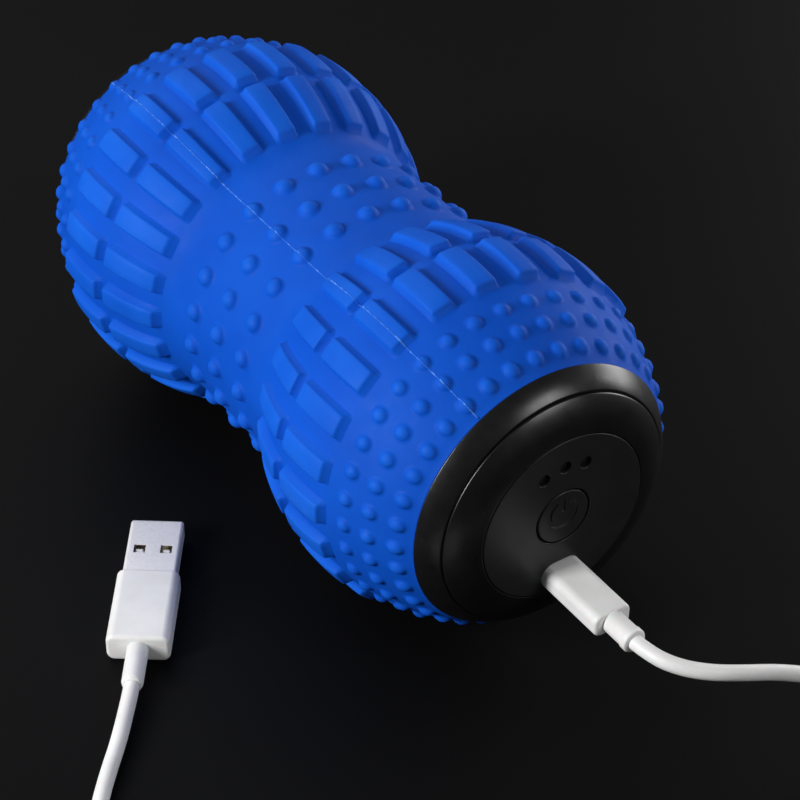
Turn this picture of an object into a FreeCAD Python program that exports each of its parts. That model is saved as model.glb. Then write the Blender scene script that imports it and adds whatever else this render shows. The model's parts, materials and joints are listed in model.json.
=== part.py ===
"""Vibrating peanut-shaped massage roller with its charging cable, as a parametric document.

The roller lies along X with its control end towards +X, on a surface at Z = 0. Its axis is
one outer radius above that surface. Radii are measured from that axis and stations along it.
"""

import FreeCAD, Part
import math
import os
import Sketcher
from FreeCAD import Vector

os.makedirs("parts", exist_ok=True)
doc = FreeCAD.newDocument("massage_roller")
sheet = doc.addObject("Spreadsheet::Sheet", "Dims")

# ---------------------------------------------------------------- driving dimensions, mm

DIMENSIONS = {
    # sleeve: two lobes and a waist
    "half_length": 82.5,
    "crown_station": 45.75,
    "crown_radius": 41.0,
    "lobe_arc": 50.1,
    "waist_radius": 33.95,
    "waist_fillet": 12.0,
    "sleeve_edge": 74.3,
    "sleeve_wall": 3.0,
    # raised tread blocks, two to a lobe in every column
    "block_columns": 24,
    "block_height": 2.0,
    "block_foot_angle": 9.0,
    "block_top_angle": 6.7,
    "block_end_slope": 0.9,
    "block_root": 0.6,
    "block_toe": 0.02,
    "inner_block_start": 22.0,
    "inner_block_end": 37.5,
    "outer_block_start": 39.0,
    "outer_block_end": 54.3,
    # round nubs: three rows at each end and three round the waist
    "end_nub_columns": 36,
    "end_nub_radius": 1.72,
    "end_nub_height": 1.05,
    "end_nub_first": 59.3,
    "end_nub_pitch": 5.85,
    "waist_nub_radius": 2.3,
    "waist_nub_height": 1.7,
    "waist_nub_pitch": 10.0,
    # plastic core inside the sleeve
    "core_wall": 2.4,
    "fit_gap": 0.1,
    # end trim: bezel ring, inner ring and flat panel
    "bezel_arc": 12.0,
    "bezel_wall": 2.2,
    "groove_station": 79.0,
    "groove_radius": 28.2,
    "groove_gap": 0.5,
    "ring_arc": 17.0,
    "panel_radius": 20.2,
    "panel_gap": 0.2,
    "panel_wall": 2.2,
    "panel_ledge": 1.4,
    "end_frame_station": 64.5,
    "end_frame_wall": 2.5,
    # power button and switch
    "button_radius": 6.5,
    "button_gap": 0.3,
    "button_edge": 0.3,
    "button_flange": 1.3,
    "button_flange_wall": 1.0,
    "button_travel": 0.6,
    "stem_radius": 1.6,
    "icon_radius": 3.4,
    "icon_line": 0.7,
    "icon_depth": 0.35,
    "icon_gap_angle": 32.0,
    "icon_rise": 0.9,
    "icon_bar_length": 3.1,
    "icon_bar_rise": 3.0,
    "switch_size": 6.0,
    "switch_height": 3.5,
    "plunger_radius": 1.5,
    "plunger_gap": 0.25,
    "plunger_lead": 0.3,
    "plunger_floor": 0.6,
    # indicator lights
    "light_circle": 13.2,
    "light_step": 23.5,
    "light_radius": 1.3,
    "light_recess": 1.0,
    "chip_size": 1.8,
    "chip_height": 1.0,
    # circuit board and charging socket
    "post_circle": 15.0,
    "post_radius": 2.2,
    "board_front": 72.0,
    "board_wall": 1.6,
    "board_radius": 18.6,
    "port_margin": 4.6,
    "port_width": 10.2,
    "port_height": 6.6,
    "socket_width": 8.2,
    "socket_height": 3.2,
    "socket_wall": 0.35,
    "socket_floor": 1.5,
    "socket_mouth": 79.6,
    "socket_tongue_width": 3.6,
    "socket_tongue_wall": 0.5,
    "socket_tongue_back": 0.7,
    # motor, rotor and mounts
    "motor_start": 13.0,
    "motor_length": 34.0,
    "motor_radius": 13.8,
    "motor_boss_radius": 5.0,
    "motor_boss_wall": 1.5,
    "shaft_radius": 1.5,
    "shaft_clearance": 0.08,
    "shaft_reach": 15.0,
    "weight_radius": 11.0,
    "weight_width": 8.0,
    "weight_gap": 6.5,
    "hub_radius": 3.4,
    "bulkhead_wall": 2.5,
    "screw_radius": 1.25,
    "screw_head_radius": 2.3,
    "screw_head_wall": 1.6,
    "motor_screw_circle": 9.0,
    "motor_screw_hold": 3.0,
    "motor_screw_spare": 0.5,
    "board_screw_hold": 5.0,
    # battery pack
    "cell_radius": 9.1,
    "cell_length": 50.0,
    "cell_start": 64.3,
    "cell_spacing": 19.4,
    "cell_button_radius": 3.0,
    "cell_button_wall": 0.9,
    "cradle_wall": 2.0,
    "cradle_depth": 7.0,
    "lead_radius": 0.8,
    "lead_circle": 20.0,
    "lead_hole": 4.4,
    "lead_straight": 4.0,
    "lead_spread_run": 8.0,
    "lead_inset": 4.5,
    "lead_end": 2.0,
    # charging cable
    "cord_diameter": 3.5,
    "plug_face": 80.9,
    "plug_width": 9.2,
    "plug_height": 5.6,
    "plug_length": 19.6,
    "plug_shell_width": 6.85,
    "plug_shell_height": 1.8,
    "plug_shell_wall": 0.3,
    "plug_shell_reach": 6.0,
    "plug_shell_back": 0.5,
    "plug_boot_radius": 2.5,
    "plug_boot_length": 7.4,
    "usb_shell_width": 12.0,
    "usb_shell_height": 4.5,
    "usb_shell_wall": 0.3,
    "usb_shell_length": 17.8,
    "usb_body_width": 14.0,
    "usb_body_height": 7.0,
    "usb_body_length": 21.6,
    "usb_boot_radius": 2.4,
    "usb_boot_length": 11.0,
    "usb_tongue_wall": 1.8,
    "usb_tongue_back": 1.0,
    "usb_contact_width": 1.0,
    "usb_contact_wall": 0.2,
    "usb_contact_back": 0.5,
    "usb_window_size": 2.6,
    "usb_window_back": 9.5,
    "usb_window_side": 3.0,
    "coil_radius": 19.0,
    "coil_layers": 2,
}

for row, (alias, value) in enumerate(DIMENSIONS.items(), start=1):
    sheet.set(f"A{row}", alias)
    sheet.set(f"B{row}", str(value))
    sheet.setAlias(f"B{row}", alias)
doc.recompute()


# ---------------------------------------------------------------- sizes that carry their formula


class Size:
    """A length that knows both its number and the spreadsheet formula that gives it."""

    def __init__(self, text, value):
        self.text = text
        self.value = value

    def _join(self, other, sign, number):
        other = size_of(other)
        return Size(f"({self.text} {sign} {other.text})", number(self.value, other.value))

    def __add__(self, other):
        return self._join(other, "+", lambda a, b: a + b)

    def __sub__(self, other):
        return self._join(other, "-", lambda a, b: a - b)

    def __mul__(self, other):
        return self._join(other, "*", lambda a, b: a * b)

    def __truediv__(self, other):
        return self._join(other, "/", lambda a, b: a / b)

    def __radd__(self, other):
        return size_of(other) + self

    def __rsub__(self, other):
        return size_of(other) - self

    def __rmul__(self, other):
        return size_of(other) * self

    def __neg__(self):
        return Size(f"(0 - {self.text})", -self.value)


def size_of(number):
    """Wraps a plain number as a Size."""
    return number if isinstance(number, Size) else Size(repr(float(number)), float(number))


def root(size):
    """Square root of a Size."""
    return Size(f"sqrt({size.text})", math.sqrt(size.value))


def cosine(degrees):
    """Cosine of a Size in degrees."""
    return Size(f"cos({degrees.text})", math.cos(math.radians(degrees.value)))


def sine(degrees):
    """Sine of a Size in degrees."""
    return Size(f"sin({degrees.text})", math.sin(math.radians(degrees.value)))


class Names:
    """Gives each spreadsheet cell as an attribute."""

    def __getattr__(self, alias):
        return Size(f"Dims.{alias}", float(sheet.get(alias)))


d = Names()
AXIS_HEIGHT = d.crown_radius + d.block_height
parts = []

# ---------------------------------------------------------------- sketches and features


def origin_plane(body, role):
    """One of a body's own origin planes."""
    return next(f for f in body.Origin.OriginFeatures if f.Role == role)


def new_body(label, height=None, x=0, y=0, turn=0, about=Vector(1, 0, 0)):
    """A body with its own label, its axis raised to the roller's axis and turned about a direction."""
    body = doc.addObject("PartDesign::Body", label)
    body.Label = label
    for letter, place in (("x", x), ("y", y), ("z", AXIS_HEIGHT if height is None else height)):
        body.setExpression(f"Placement.Base.{letter}", size_of(place).text)
    if turn:
        body.Placement.Rotation = FreeCAD.Rotation(about, turn)
    parts.append(body)
    return body


def new_sketch(body, role, offset=None):
    """A sketch on a body's origin plane, moved along the plane's normal."""
    sketch = body.newObject("Sketcher::SketchObject", f"{body.Name}_sketch")
    sketch.AttachmentSupport = [(origin_plane(body, role), "")]
    sketch.MapMode = "FlatFace"
    if offset is not None:
        sketch.setExpression("AttachmentOffset.Base.z", size_of(offset).text)
    return sketch


def bind(sketch, kind, geometry, place, size):
    """One coordinate or radius of a sketch, driven by the sheet."""
    if kind == "Radius":
        index = sketch.addConstraint(Sketcher.Constraint(kind, geometry, size.value))
    else:
        index = sketch.addConstraint(Sketcher.Constraint(kind, -1, 1, geometry, place, size.value))
    sketch.setExpression(f"Constraints[{index}]", size.text)


def arc_between(start, end, radius, bulge):
    """An arc from start to end. bulge 1 puts its middle to the left of the way from start to end."""
    chord = end - start
    side = Vector(-chord.y, chord.x, 0).normalize() * bulge
    rise = math.sqrt(radius**2 - (chord.Length / 2) ** 2)
    centre = start + chord / 2 - side * rise
    begin, finish = (end, start) if bulge > 0 else (start, end)
    angles = [math.atan2(p.y - centre.y, p.x - centre.x) for p in (begin, finish)]
    if angles[1] < angles[0]:
        angles[1] += 2 * math.pi
    return Part.ArcOfCircle(Part.Circle(centre, Vector(0, 0, 1), radius), *angles)


def outline(sketch, corners):
    """A closed outline. A corner is (x, y), or (x, y, radius, bulge) when an arc leaves it."""
    points = [Vector(size_of(c[0]).value, size_of(c[1]).value, 0) for c in corners]
    first = sketch.GeometryCount
    ends = []
    for i, corner in enumerate(corners):
        start, end = points[i], points[(i + 1) % len(points)]
        if len(corner) == 2:
            sketch.addGeometry(Part.LineSegment(start, end), False)
            ends.append((1, 2))
        else:
            sketch.addGeometry(arc_between(start, end, corner[2].value, corner[3]), False)
            ends.append((2, 1) if corner[3] > 0 else (1, 2))
    for i, corner in enumerate(corners):
        following = (i + 1) % len(corners)
        sketch.addConstraint(
            Sketcher.Constraint(
                "Coincident", first + i, ends[i][1], first + following, ends[following][0]
            )
        )
        bind(sketch, "DistanceX", first + i, ends[i][0], size_of(corner[0]))
        bind(sketch, "DistanceY", first + i, ends[i][0], size_of(corner[1]))
        if len(corner) > 2:
            bind(sketch, "Radius", first + i, None, corner[2])


def circle(sketch, y, z, radius):
    """A circle in a sketch."""
    y, z, radius = size_of(y), size_of(z), size_of(radius)
    centre = Vector(y.value, z.value, 0)
    index = sketch.addGeometry(Part.Circle(centre, Vector(0, 0, 1), radius.value), False)
    bind(sketch, "DistanceX", index, 3, y)
    bind(sketch, "DistanceY", index, 3, z)
    bind(sketch, "Radius", index, None, radius)


def rectangle(sketch, y, z, width, height):
    """A rectangle about the point (y, z)."""
    y, z, half_w, half_h = size_of(y), size_of(z), size_of(width) / 2, size_of(height) / 2
    outline(
        sketch,
        [
            (y - half_w, z - half_h),
            (y + half_w, z - half_h),
            (y + half_w, z + half_h),
            (y - half_w, z + half_h),
        ],
    )


def oval(sketch, y, z, width, height):
    """A stadium about the point (y, z), with its round ends along the first axis."""
    radius = size_of(height) / 2
    round_ends(sketch, size_of(y), size_of(z), size_of(width) / 2 - radius, radius)


def round_ends(sketch, y, z, straight, radius):
    """Two straight sides joined by two quarter arcs at each end."""
    outline(
        sketch,
        [
            (y - straight, z - radius),
            (y + straight, z - radius, radius, -1),
            (y + straight + radius, z, radius, -1),
            (y + straight, z + radius),
            (y - straight, z + radius, radius, -1),
            (y - straight - radius, z, radius, -1),
        ],
    )


def lathe(body, corners, angle=360):
    """Turns an outline of (station, radius) about the roller's axis."""
    sketch = new_sketch(body, "XZ_Plane")
    outline(sketch, corners)
    turned = body.newObject("PartDesign::Revolution", f"{body.Name}_turned")
    turned.Profile = sketch
    turned.ReferenceAxis = (sketch, ["H_Axis"])
    turned.Angle = angle
    turned.Midplane = True
    sketch.Visibility = False


def pad(body, draw, start, end, cut=False):
    """Runs the shapes that draw puts in a sketch from one station along the axis to another."""
    start, end = size_of(start), size_of(end)
    sketch = new_sketch(body, "YZ_Plane", start)
    draw(sketch)
    feature = body.newObject("PartDesign::Pocket" if cut else "PartDesign::Pad", f"{body.Name}_run")
    feature.Profile = sketch
    feature.Reversed = bool(cut)
    feature.setExpression("Length", (end - start).text)
    sketch.Visibility = False


# ---------------------------------------------------------------- the roller's outer profile

LOBE_CENTRE = d.crown_radius - d.lobe_arc
FILLET_CENTRE = d.waist_radius + d.waist_fillet
JOIN = d.lobe_arc + d.waist_fillet
FILLET_STATION = d.crown_station - root(
    JOIN * JOIN - (FILLET_CENTRE - LOBE_CENTRE) * (FILLET_CENTRE - LOBE_CENTRE)
)


def lobe_radius(station, depth=0):
    """Radius of the lobe's arc at a station, a depth below the sleeve's face."""
    along = station - d.crown_station
    arc = d.lobe_arc - depth
    return LOBE_CENTRE + root(arc * arc - along * along)


def half_profile(depth):
    """The lobe-to-waist corners on the +X side, a depth below the sleeve's face."""
    share = (d.lobe_arc - depth) / JOIN
    meet_station = d.crown_station + (FILLET_STATION - d.crown_station) * share
    meet_radius = LOBE_CENTRE + (FILLET_CENTRE - LOBE_CENTRE) * share
    return meet_station, meet_radius


def face_corners(depth, end_station):
    """Corners from the -X end to the +X end, a depth below the sleeve's face."""
    depth = size_of(depth)
    meet_station, meet_radius = half_profile(depth)
    end_radius = lobe_radius(end_station, depth)
    arc, fillet = d.lobe_arc - depth, d.waist_fillet + depth
    waist = d.waist_radius - depth
    return [
        (-end_station, end_radius, arc, 1),
        (-meet_station, meet_radius, fillet, -1),
        (-FILLET_STATION, waist),
        (FILLET_STATION, waist, fillet, -1),
        (meet_station, meet_radius, arc, 1),
        (end_station, end_radius),
    ]


def reversed_corners(corners):
    """The same run of corners the other way round."""
    back = []
    for i in range(len(corners) - 1, -1, -1):
        station, radius = corners[i][0], corners[i][1]
        before = corners[i - 1] if i else None
        if before and len(before) > 2:
            back.append((station, radius, before[2], -before[3]))
        else:
            back.append((station, radius))
    return back


def tube_corners(depth, wall, end_station):
    """A closed outline between two depths below the sleeve's face."""
    outer = face_corners(depth, end_station)
    inner = face_corners(size_of(depth) + wall, end_station)
    return outer + reversed_corners(inner)


# ---------------------------------------------------------------- sleeve

SEAM_TURN = 6  # keeps the turned face's seam between the columns of blocks and nubs


def solid_feature(label, shape, placement=None):
    """A sub-part whose shape is made directly."""
    feature = doc.addObject("Part::Feature", label)
    feature.Label = label
    feature.Shape = shape
    on_axis = FreeCAD.Placement(Vector(0, 0, AXIS_HEIGHT.value), FreeCAD.Rotation())
    feature.Placement = placement or on_axis
    parts.append(feature)
    return feature


def turned_shape(corners):
    """The solid that an outline of (station, radius) sweeps about the X axis."""
    points = [Vector(size_of(c[0]).value, size_of(c[1]).value, 0) for c in corners]
    edges = []
    for i, corner in enumerate(corners):
        start, end = points[i], points[(i + 1) % len(points)]
        if len(corner) == 2:
            edges.append(Part.LineSegment(start, end).toShape())
        else:
            edges.append(arc_between(start, end, corner[2].value, corner[3]).toShape())
    face = Part.Face(Part.Wire(edges))
    face.rotate(Vector(0, 0, 0), Vector(1, 0, 0), SEAM_TURN)
    return face.revolve(Vector(0, 0, 0), Vector(1, 0, 0), 360)


def sleeve_radius(station):
    """Radius of the sleeve's smooth face at a station, as a plain number."""
    station = abs(station)
    meet_station, _ = half_profile(size_of(0))
    if station >= meet_station.value:
        return lobe_radius(size_of(station)).value
    if station <= FILLET_STATION.value:
        return d.waist_radius.value
    along = station - FILLET_STATION.value
    return FILLET_CENTRE.value - math.sqrt(d.waist_fillet.value**2 - along**2)


def tread_block(start, end):
    """One raised block with sloping ends and sides, standing on the top of the roller."""
    slope, sunk, steps = d.block_end_slope.value, d.block_root.value, 3
    low, high = start + slope, end - slope
    stations = [start] + [low + (high - low) * i / steps for i in range(steps + 1)] + [end]
    sections = []
    for station in stations:
        at_end = station in (start, end)
        radius = sleeve_radius(station)
        top = radius + (d.block_toe.value if at_end else d.block_height.value)
        angle = d.block_foot_angle.value if at_end else d.block_top_angle.value
        foot = (radius - sunk) * math.tan(math.radians(d.block_foot_angle.value / 2))
        half = radius * math.tan(math.radians(angle / 2))
        ring = [(-foot, radius - sunk), (foot, radius - sunk), (half, top), (-half, top)]
        corners = [Vector(station, y, z) for y, z in ring]
        sections.append(Part.makePolygon(corners + corners[:1]))
    return Part.makeLoft(sections, True, True)


def nub(station, foot_radius, height):
    """One round nub: a ball sunk into the sleeve so that its cap has this foot and height."""
    ball = (foot_radius**2 + height**2) / (2 * height)
    step = 0.01
    slope = (sleeve_radius(station + step) - sleeve_radius(station - step)) / (2 * step)
    normal = Vector(-slope, 0, 1).normalize()
    centre = Vector(station, 0, sleeve_radius(station)) - normal * (ball - height)
    return Part.makeSphere(ball, centre)


def around(shape, columns):
    """Copies of a shape, evenly spaced about the X axis."""
    copies = []
    for i in range(columns):
        copy = shape.copy()
        copy.rotate(Vector(0, 0, 0), Vector(1, 0, 0), 360 / columns * i)
        copies.append(copy)
    return copies


def sleeve_bumps():
    """Every raised block and nub of the sleeve."""
    bumps = []
    spans = [
        (d.inner_block_start.value, d.inner_block_end.value),
        (d.outer_block_start.value, d.outer_block_end.value),
    ]
    columns = int(d.block_columns.value)
    for start, end in spans:
        bumps += around(tread_block(start, end), columns)
        bumps += around(tread_block(-end, -start), columns)
    for turn in (-1, 0, 1):
        station = turn * d.waist_nub_pitch.value
        bumps += around(nub(station, d.waist_nub_radius.value, d.waist_nub_height.value), columns)
    for side in (-1, 1):
        for i in range(3):
            station = side * (d.end_nub_first.value + i * d.end_nub_pitch.value)
            ball = nub(station, d.end_nub_radius.value, d.end_nub_height.value)
            bumps += around(ball, int(d.end_nub_columns.value))
    return bumps


def make_sleeve():
    """The one-piece silicone skin with its treads."""
    tube = turned_shape(tube_corners(0, d.sleeve_wall, d.sleeve_edge))
    solid = tube.multiFuse(sleeve_bumps())
    solid_feature("silicone_sleeve", solid.Solids[0])


# ---------------------------------------------------------------- plastic core and frames

CORE_DEPTH = d.sleeve_wall + d.fit_gap
CORE_INSIDE = CORE_DEPTH + d.core_wall


def make_core_half(label, turn):
    """One half of the plastic core that the sleeve is stretched over."""
    body = new_body(label, turn=turn)
    lathe(body, tube_corners(CORE_DEPTH, d.core_wall, d.sleeve_edge), angle=180)


END_FACE = Vector(0, 0, 1)  # the end parts at -X are the +X ones turned half way about this
POST_ANGLES = (35, 145, 215, 325)
SIDE_ANGLES = (0, 180)


def on_circle(radius, degrees):
    """A point (y, z) on a circle about the axis, with its angle measured from +Y."""
    radius, degrees = size_of(radius), size_of(degrees)
    return radius * cosine(degrees), radius * sine(degrees)


def holes(angles, at, radius):
    """A drawing of round holes on a circle about the axis."""

    def draw(sketch):
        for degrees in angles:
            circle(sketch, *on_circle(at, degrees), radius)

    return draw


FRAME_FRONT = d.end_frame_station + d.end_frame_wall
CORE_EDGE = lobe_radius(d.sleeve_edge, CORE_INSIDE)
BOARD_BACK = d.board_front - d.board_wall
SCREW_HOLE = d.screw_radius + d.fit_gap


def make_end_frame(label, turn, posts):
    """A round frame that stiffens the core near one end and, at the control end, holds the board."""
    body = new_body(label, turn=turn, about=END_FACE)
    edge = lobe_radius(FRAME_FRONT, CORE_INSIDE) - d.fit_gap
    window = d.post_circle - d.post_radius - d.bulkhead_wall
    back = d.end_frame_station
    lathe(body, [(back, window), (FRAME_FRONT, window), (FRAME_FRONT, edge), (back, edge)])
    if posts:
        pad(body, holes(POST_ANGLES, d.post_circle, d.post_radius), FRAME_FRONT, BOARD_BACK)
        pad(body, holes(POST_ANGLES, d.post_circle, SCREW_HOLE), back, BOARD_BACK, cut=True)
    pad(body, holes(SIDE_ANGLES, d.lead_circle, d.lead_hole), back, FRAME_FRONT, cut=True)


def make_bezel_ring(label, turn):
    """The convex black ring next to the sleeve, with a spigot inside the core."""
    body = new_body(label, turn=turn, about=END_FACE)
    start = d.sleeve_edge + d.fit_gap
    nose = d.groove_station - d.groove_gap / 2
    rim = d.groove_radius + d.groove_gap / 2
    spigot = CORE_EDGE - d.fit_gap
    bore = spigot - d.bezel_wall
    corners = [
        (start, lobe_radius(d.sleeve_edge), d.bezel_arc, 1),
        (nose, rim),
        (nose, rim - d.bezel_wall),
        (start + d.bezel_wall, bore),
        (FRAME_FRONT + d.fit_gap, bore),
        (FRAME_FRONT + d.fit_gap, spigot),
        (start, spigot),
    ]
    lathe(body, corners)


PANEL_BACK = d.half_length - d.panel_wall
PANEL_SEAT = PANEL_BACK - d.fit_gap
PORT_DROP = d.panel_radius - d.port_margin


def make_inner_ring(label, turn):
    """The second convex ring, which carries the flat panel on a ledge."""
    body = new_body(label, turn=turn, about=END_FACE)
    back = d.groove_station - d.groove_gap / 2 + d.fit_gap
    rim = d.groove_radius - d.groove_gap / 2
    mouth = d.panel_radius + d.panel_gap
    ledge = d.panel_radius - d.panel_ledge
    corners = [
        (d.groove_station + d.groove_gap / 2, rim, d.ring_arc, 1),
        (d.half_length - d.fit_gap, mouth),
        (PANEL_SEAT, mouth),
        (PANEL_SEAT, ledge),
        (back, ledge),
        (back, rim),
    ]
    lathe(body, corners)


LIGHT_ANGLES = [90 - d.light_step, size_of(90), 90 + d.light_step]


def port_cut(sketch):
    """The opening for the charging plug."""
    oval(sketch, 0, -PORT_DROP, d.port_width, d.port_height)


def make_control_panel():
    """The flat disc with the button hole, three light holes and the port."""
    body = new_body("control_panel")
    radius = d.panel_radius
    pad(body, lambda s: circle(s, 0, 0, radius), PANEL_BACK, d.half_length)
    button_hole = d.button_radius + d.button_gap
    pad(body, lambda s: circle(s, 0, 0, button_hole), PANEL_BACK, d.half_length, cut=True)
    light_hole = d.light_radius + d.fit_gap
    pad(body, holes(LIGHT_ANGLES, d.light_circle, light_hole), PANEL_BACK, d.half_length, cut=True)
    pad(body, port_cut, PANEL_BACK, d.half_length, cut=True)


def make_rear_panel():
    """The plain disc at the other end."""
    body = new_body("rear_panel", turn=180, about=END_FACE)
    pad(body, lambda s: circle(s, 0, 0, d.panel_radius), PANEL_BACK, d.half_length)


# ---------------------------------------------------------------- power button and switch

SWITCH_TOP = d.board_front + d.switch_height
PLUNGER_TOP = SWITCH_TOP + d.button_travel + d.plunger_lead


def power_mark(sketch):
    """A ring open at the top, drawn as two arcs a line wide."""
    half = d.icon_line / 2
    gap, middle = d.icon_gap_angle, d.icon_rise
    corners = []
    for radius, bulge, angles in (
        (d.icon_radius + half, 1, (90 - gap, 270, 90 + gap)),
        (d.icon_radius - half, -1, (90 + gap, 270, 90 - gap)),
    ):
        for i, degrees in enumerate(angles):
            y, z = on_circle(radius, degrees)
            place = (y, z + middle)
            corners.append(place + (radius, bulge) if i < 2 else place)
    outline(sketch, corners)
    rectangle(sketch, 0, d.icon_bar_rise, d.icon_line, d.icon_bar_length)


def make_power_button():
    """The round button: a cap with the power mark, a flange behind the panel and a stem."""
    body = new_body("power_button")
    flange = d.button_radius + d.button_gap + d.button_flange
    flange_back = PANEL_BACK - d.button_flange_wall
    soft = d.button_edge
    corners = [
        (PLUNGER_TOP, 0),
        (PLUNGER_TOP, d.stem_radius),
        (flange_back, d.stem_radius),
        (flange_back, flange),
        (PANEL_BACK, flange),
        (PANEL_BACK, d.button_radius),
        (d.half_length - soft, d.button_radius),
        (d.half_length, d.button_radius - soft),
        (d.half_length, 0),
    ]
    lathe(body, corners)
    pad(body, power_mark, d.half_length - d.icon_depth, d.half_length, cut=True)


def make_switch():
    """The tactile switch on the board and its plunger."""
    body = new_body("tactile_switch")
    size = d.switch_size
    pad(body, lambda s: rectangle(s, 0, 0, size, size), d.board_front, SWITCH_TOP)
    bore = d.plunger_radius + d.plunger_gap
    floor = SWITCH_TOP - 2 * d.button_travel - d.plunger_floor
    pad(body, lambda s: circle(s, 0, 0, bore), floor, SWITCH_TOP, cut=True)
    plunger = new_body("switch_plunger")
    rest = floor + d.button_travel + d.plunger_lead
    pad(plunger, lambda s: circle(s, 0, 0, d.plunger_radius), rest, PLUNGER_TOP)


# ---------------------------------------------------------------- lights, board and socket

def make_lights():
    """Three light pipes behind the panel, each over its own chip on the board."""
    size, chip_top = d.chip_size, d.board_front + d.chip_height
    for number, degrees in enumerate(LIGHT_ANGLES, start=1):
        place = on_circle(d.light_circle, degrees)
        chip = new_body(f"light_chip_{number}")
        pad(chip, lambda s: rectangle(s, *place, size, size), d.board_front, chip_top)
        pipe = new_body(f"light_pipe_{number}")
        end = d.half_length - d.light_recess
        pad(pipe, lambda s: circle(s, *place, d.light_radius), chip_top, end)


def make_board():
    """The round circuit board, screwed to the posts of the end frame."""
    body = new_body("circuit_board")
    pad(body, lambda s: circle(s, 0, 0, d.board_radius), BOARD_BACK, d.board_front)
    pad(body, holes(POST_ANGLES, d.post_circle, SCREW_HOLE), BOARD_BACK, d.board_front, cut=True)


def make_socket():
    """The charging socket: a metal shell on the board and the tongue inside it."""
    drop = -PORT_DROP
    body = new_body("charging_socket")
    width, height = d.socket_width, d.socket_height
    pad(body, lambda s: rectangle(s, 0, drop, width, height), d.board_front, d.socket_mouth)
    inside = width - 2 * d.socket_wall, height - 2 * d.socket_wall
    floor = d.board_front + d.socket_floor
    pad(body, lambda s: rectangle(s, 0, drop, *inside), floor, d.socket_mouth, cut=True)
    tongue = new_body("socket_tongue")
    flat = d.socket_tongue_width, d.socket_tongue_wall
    tongue_end = d.socket_mouth - d.socket_tongue_back
    pad(tongue, lambda s: rectangle(s, 0, drop, *flat), floor, tongue_end)


def make_screws(label, angles, at, seat, reach, turn=0):
    """One node of identical screws: heads on a face at seat, shanks reaching back from it."""
    body = new_body(label, turn=turn, about=END_FACE)
    pad(body, holes(angles, at, d.screw_head_radius), seat, seat + d.screw_head_wall)
    pad(body, holes(angles, at, d.screw_radius), seat - reach, seat)


# ---------------------------------------------------------------- motor and rotor

MOTOR_END = d.motor_start + d.motor_length
FRONT_PLATE = MOTOR_END + d.bulkhead_wall
REAR_PLATE = d.motor_start - d.bulkhead_wall
SCREW_GRIP = d.bulkhead_wall + d.motor_screw_hold


def core_inside(station):
    """The core's inside radius at a station, on a lobe or in the waist."""
    if station.value < FILLET_STATION.value:
        return d.waist_radius - CORE_INSIDE
    return lobe_radius(station, CORE_INSIDE)


def make_bulkhead(label, start, end):
    """A plate across the core that holds one end of the motor."""
    body = new_body(label)
    edge = min(core_inside(start), core_inside(end), key=lambda size: size.value)
    pad(body, lambda s: circle(s, 0, 0, edge - d.fit_gap), start, end)
    boss = d.motor_boss_radius + d.fit_gap
    pad(body, lambda s: circle(s, 0, 0, boss), start, end, cut=True)
    pad(body, holes(SIDE_ANGLES, d.motor_screw_circle, SCREW_HOLE), start, end, cut=True)
    pad(body, holes(SIDE_ANGLES, d.lead_circle, d.lead_hole), start, end, cut=True)


def make_motor():
    """The motor's can with a boss and a bore for the shaft at each end."""
    body = new_body("motor_can")
    bore = d.shaft_radius + d.shaft_clearance
    front, back = MOTOR_END + d.motor_boss_wall, d.motor_start - d.motor_boss_wall
    corners = [
        (back, bore),
        (front, bore),
        (front, d.motor_boss_radius),
        (MOTOR_END, d.motor_boss_radius),
        (MOTOR_END, d.motor_radius),
        (d.motor_start, d.motor_radius),
        (d.motor_start, d.motor_boss_radius),
        (back, d.motor_boss_radius),
    ]
    lathe(body, corners)
    tapped = holes(SIDE_ANGLES, d.motor_screw_circle, SCREW_HOLE)
    depth = d.motor_screw_hold + d.motor_screw_spare
    pad(body, tapped, MOTOR_END - depth, MOTOR_END, cut=True)
    pad(body, tapped, d.motor_start, d.motor_start + depth, cut=True)


def half_weight(sketch):
    """A half disc below the shaft with a hub round it, bored for the shaft."""
    outer, hub = d.weight_radius, d.hub_radius
    corners = [
        (-outer, 0, outer, -1),
        (0, -outer, outer, -1),
        (outer, 0),
        (hub, 0, hub, -1),
        (0, hub, hub, -1),
        (-hub, 0),
    ]
    outline(sketch, corners)
    circle(sketch, 0, 0, d.shaft_radius)


def make_rotor():
    """The shaft and the eccentric weight on each of its ends."""
    shaft = new_body("motor_shaft")
    ends = d.motor_start - d.shaft_reach, MOTOR_END + d.shaft_reach
    pad(shaft, lambda s: circle(s, 0, 0, d.shaft_radius), *ends)
    front = MOTOR_END + d.weight_gap
    pad(new_body("front_weight"), half_weight, front, front + d.weight_width)
    back = d.motor_start - d.weight_gap
    pad(new_body("rear_weight"), half_weight, back - d.weight_width, back)


# ---------------------------------------------------------------- battery pack


def make_cells():
    """Two round cells side by side, each with its contact."""
    front = -d.cell_start + d.cell_length
    for label, side in (("battery_cell_left", 1), ("battery_cell_right", -1)):
        body = new_body(label, y=d.cell_spacing / 2 * side)
        corners = [
            (-d.cell_start, 0),
            (-d.cell_start, d.cell_radius),
            (front, d.cell_radius),
            (front, d.cell_button_radius),
            (front + d.cell_button_wall, d.cell_button_radius),
            (front + d.cell_button_wall, 0),
        ]
        lathe(body, corners)


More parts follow.
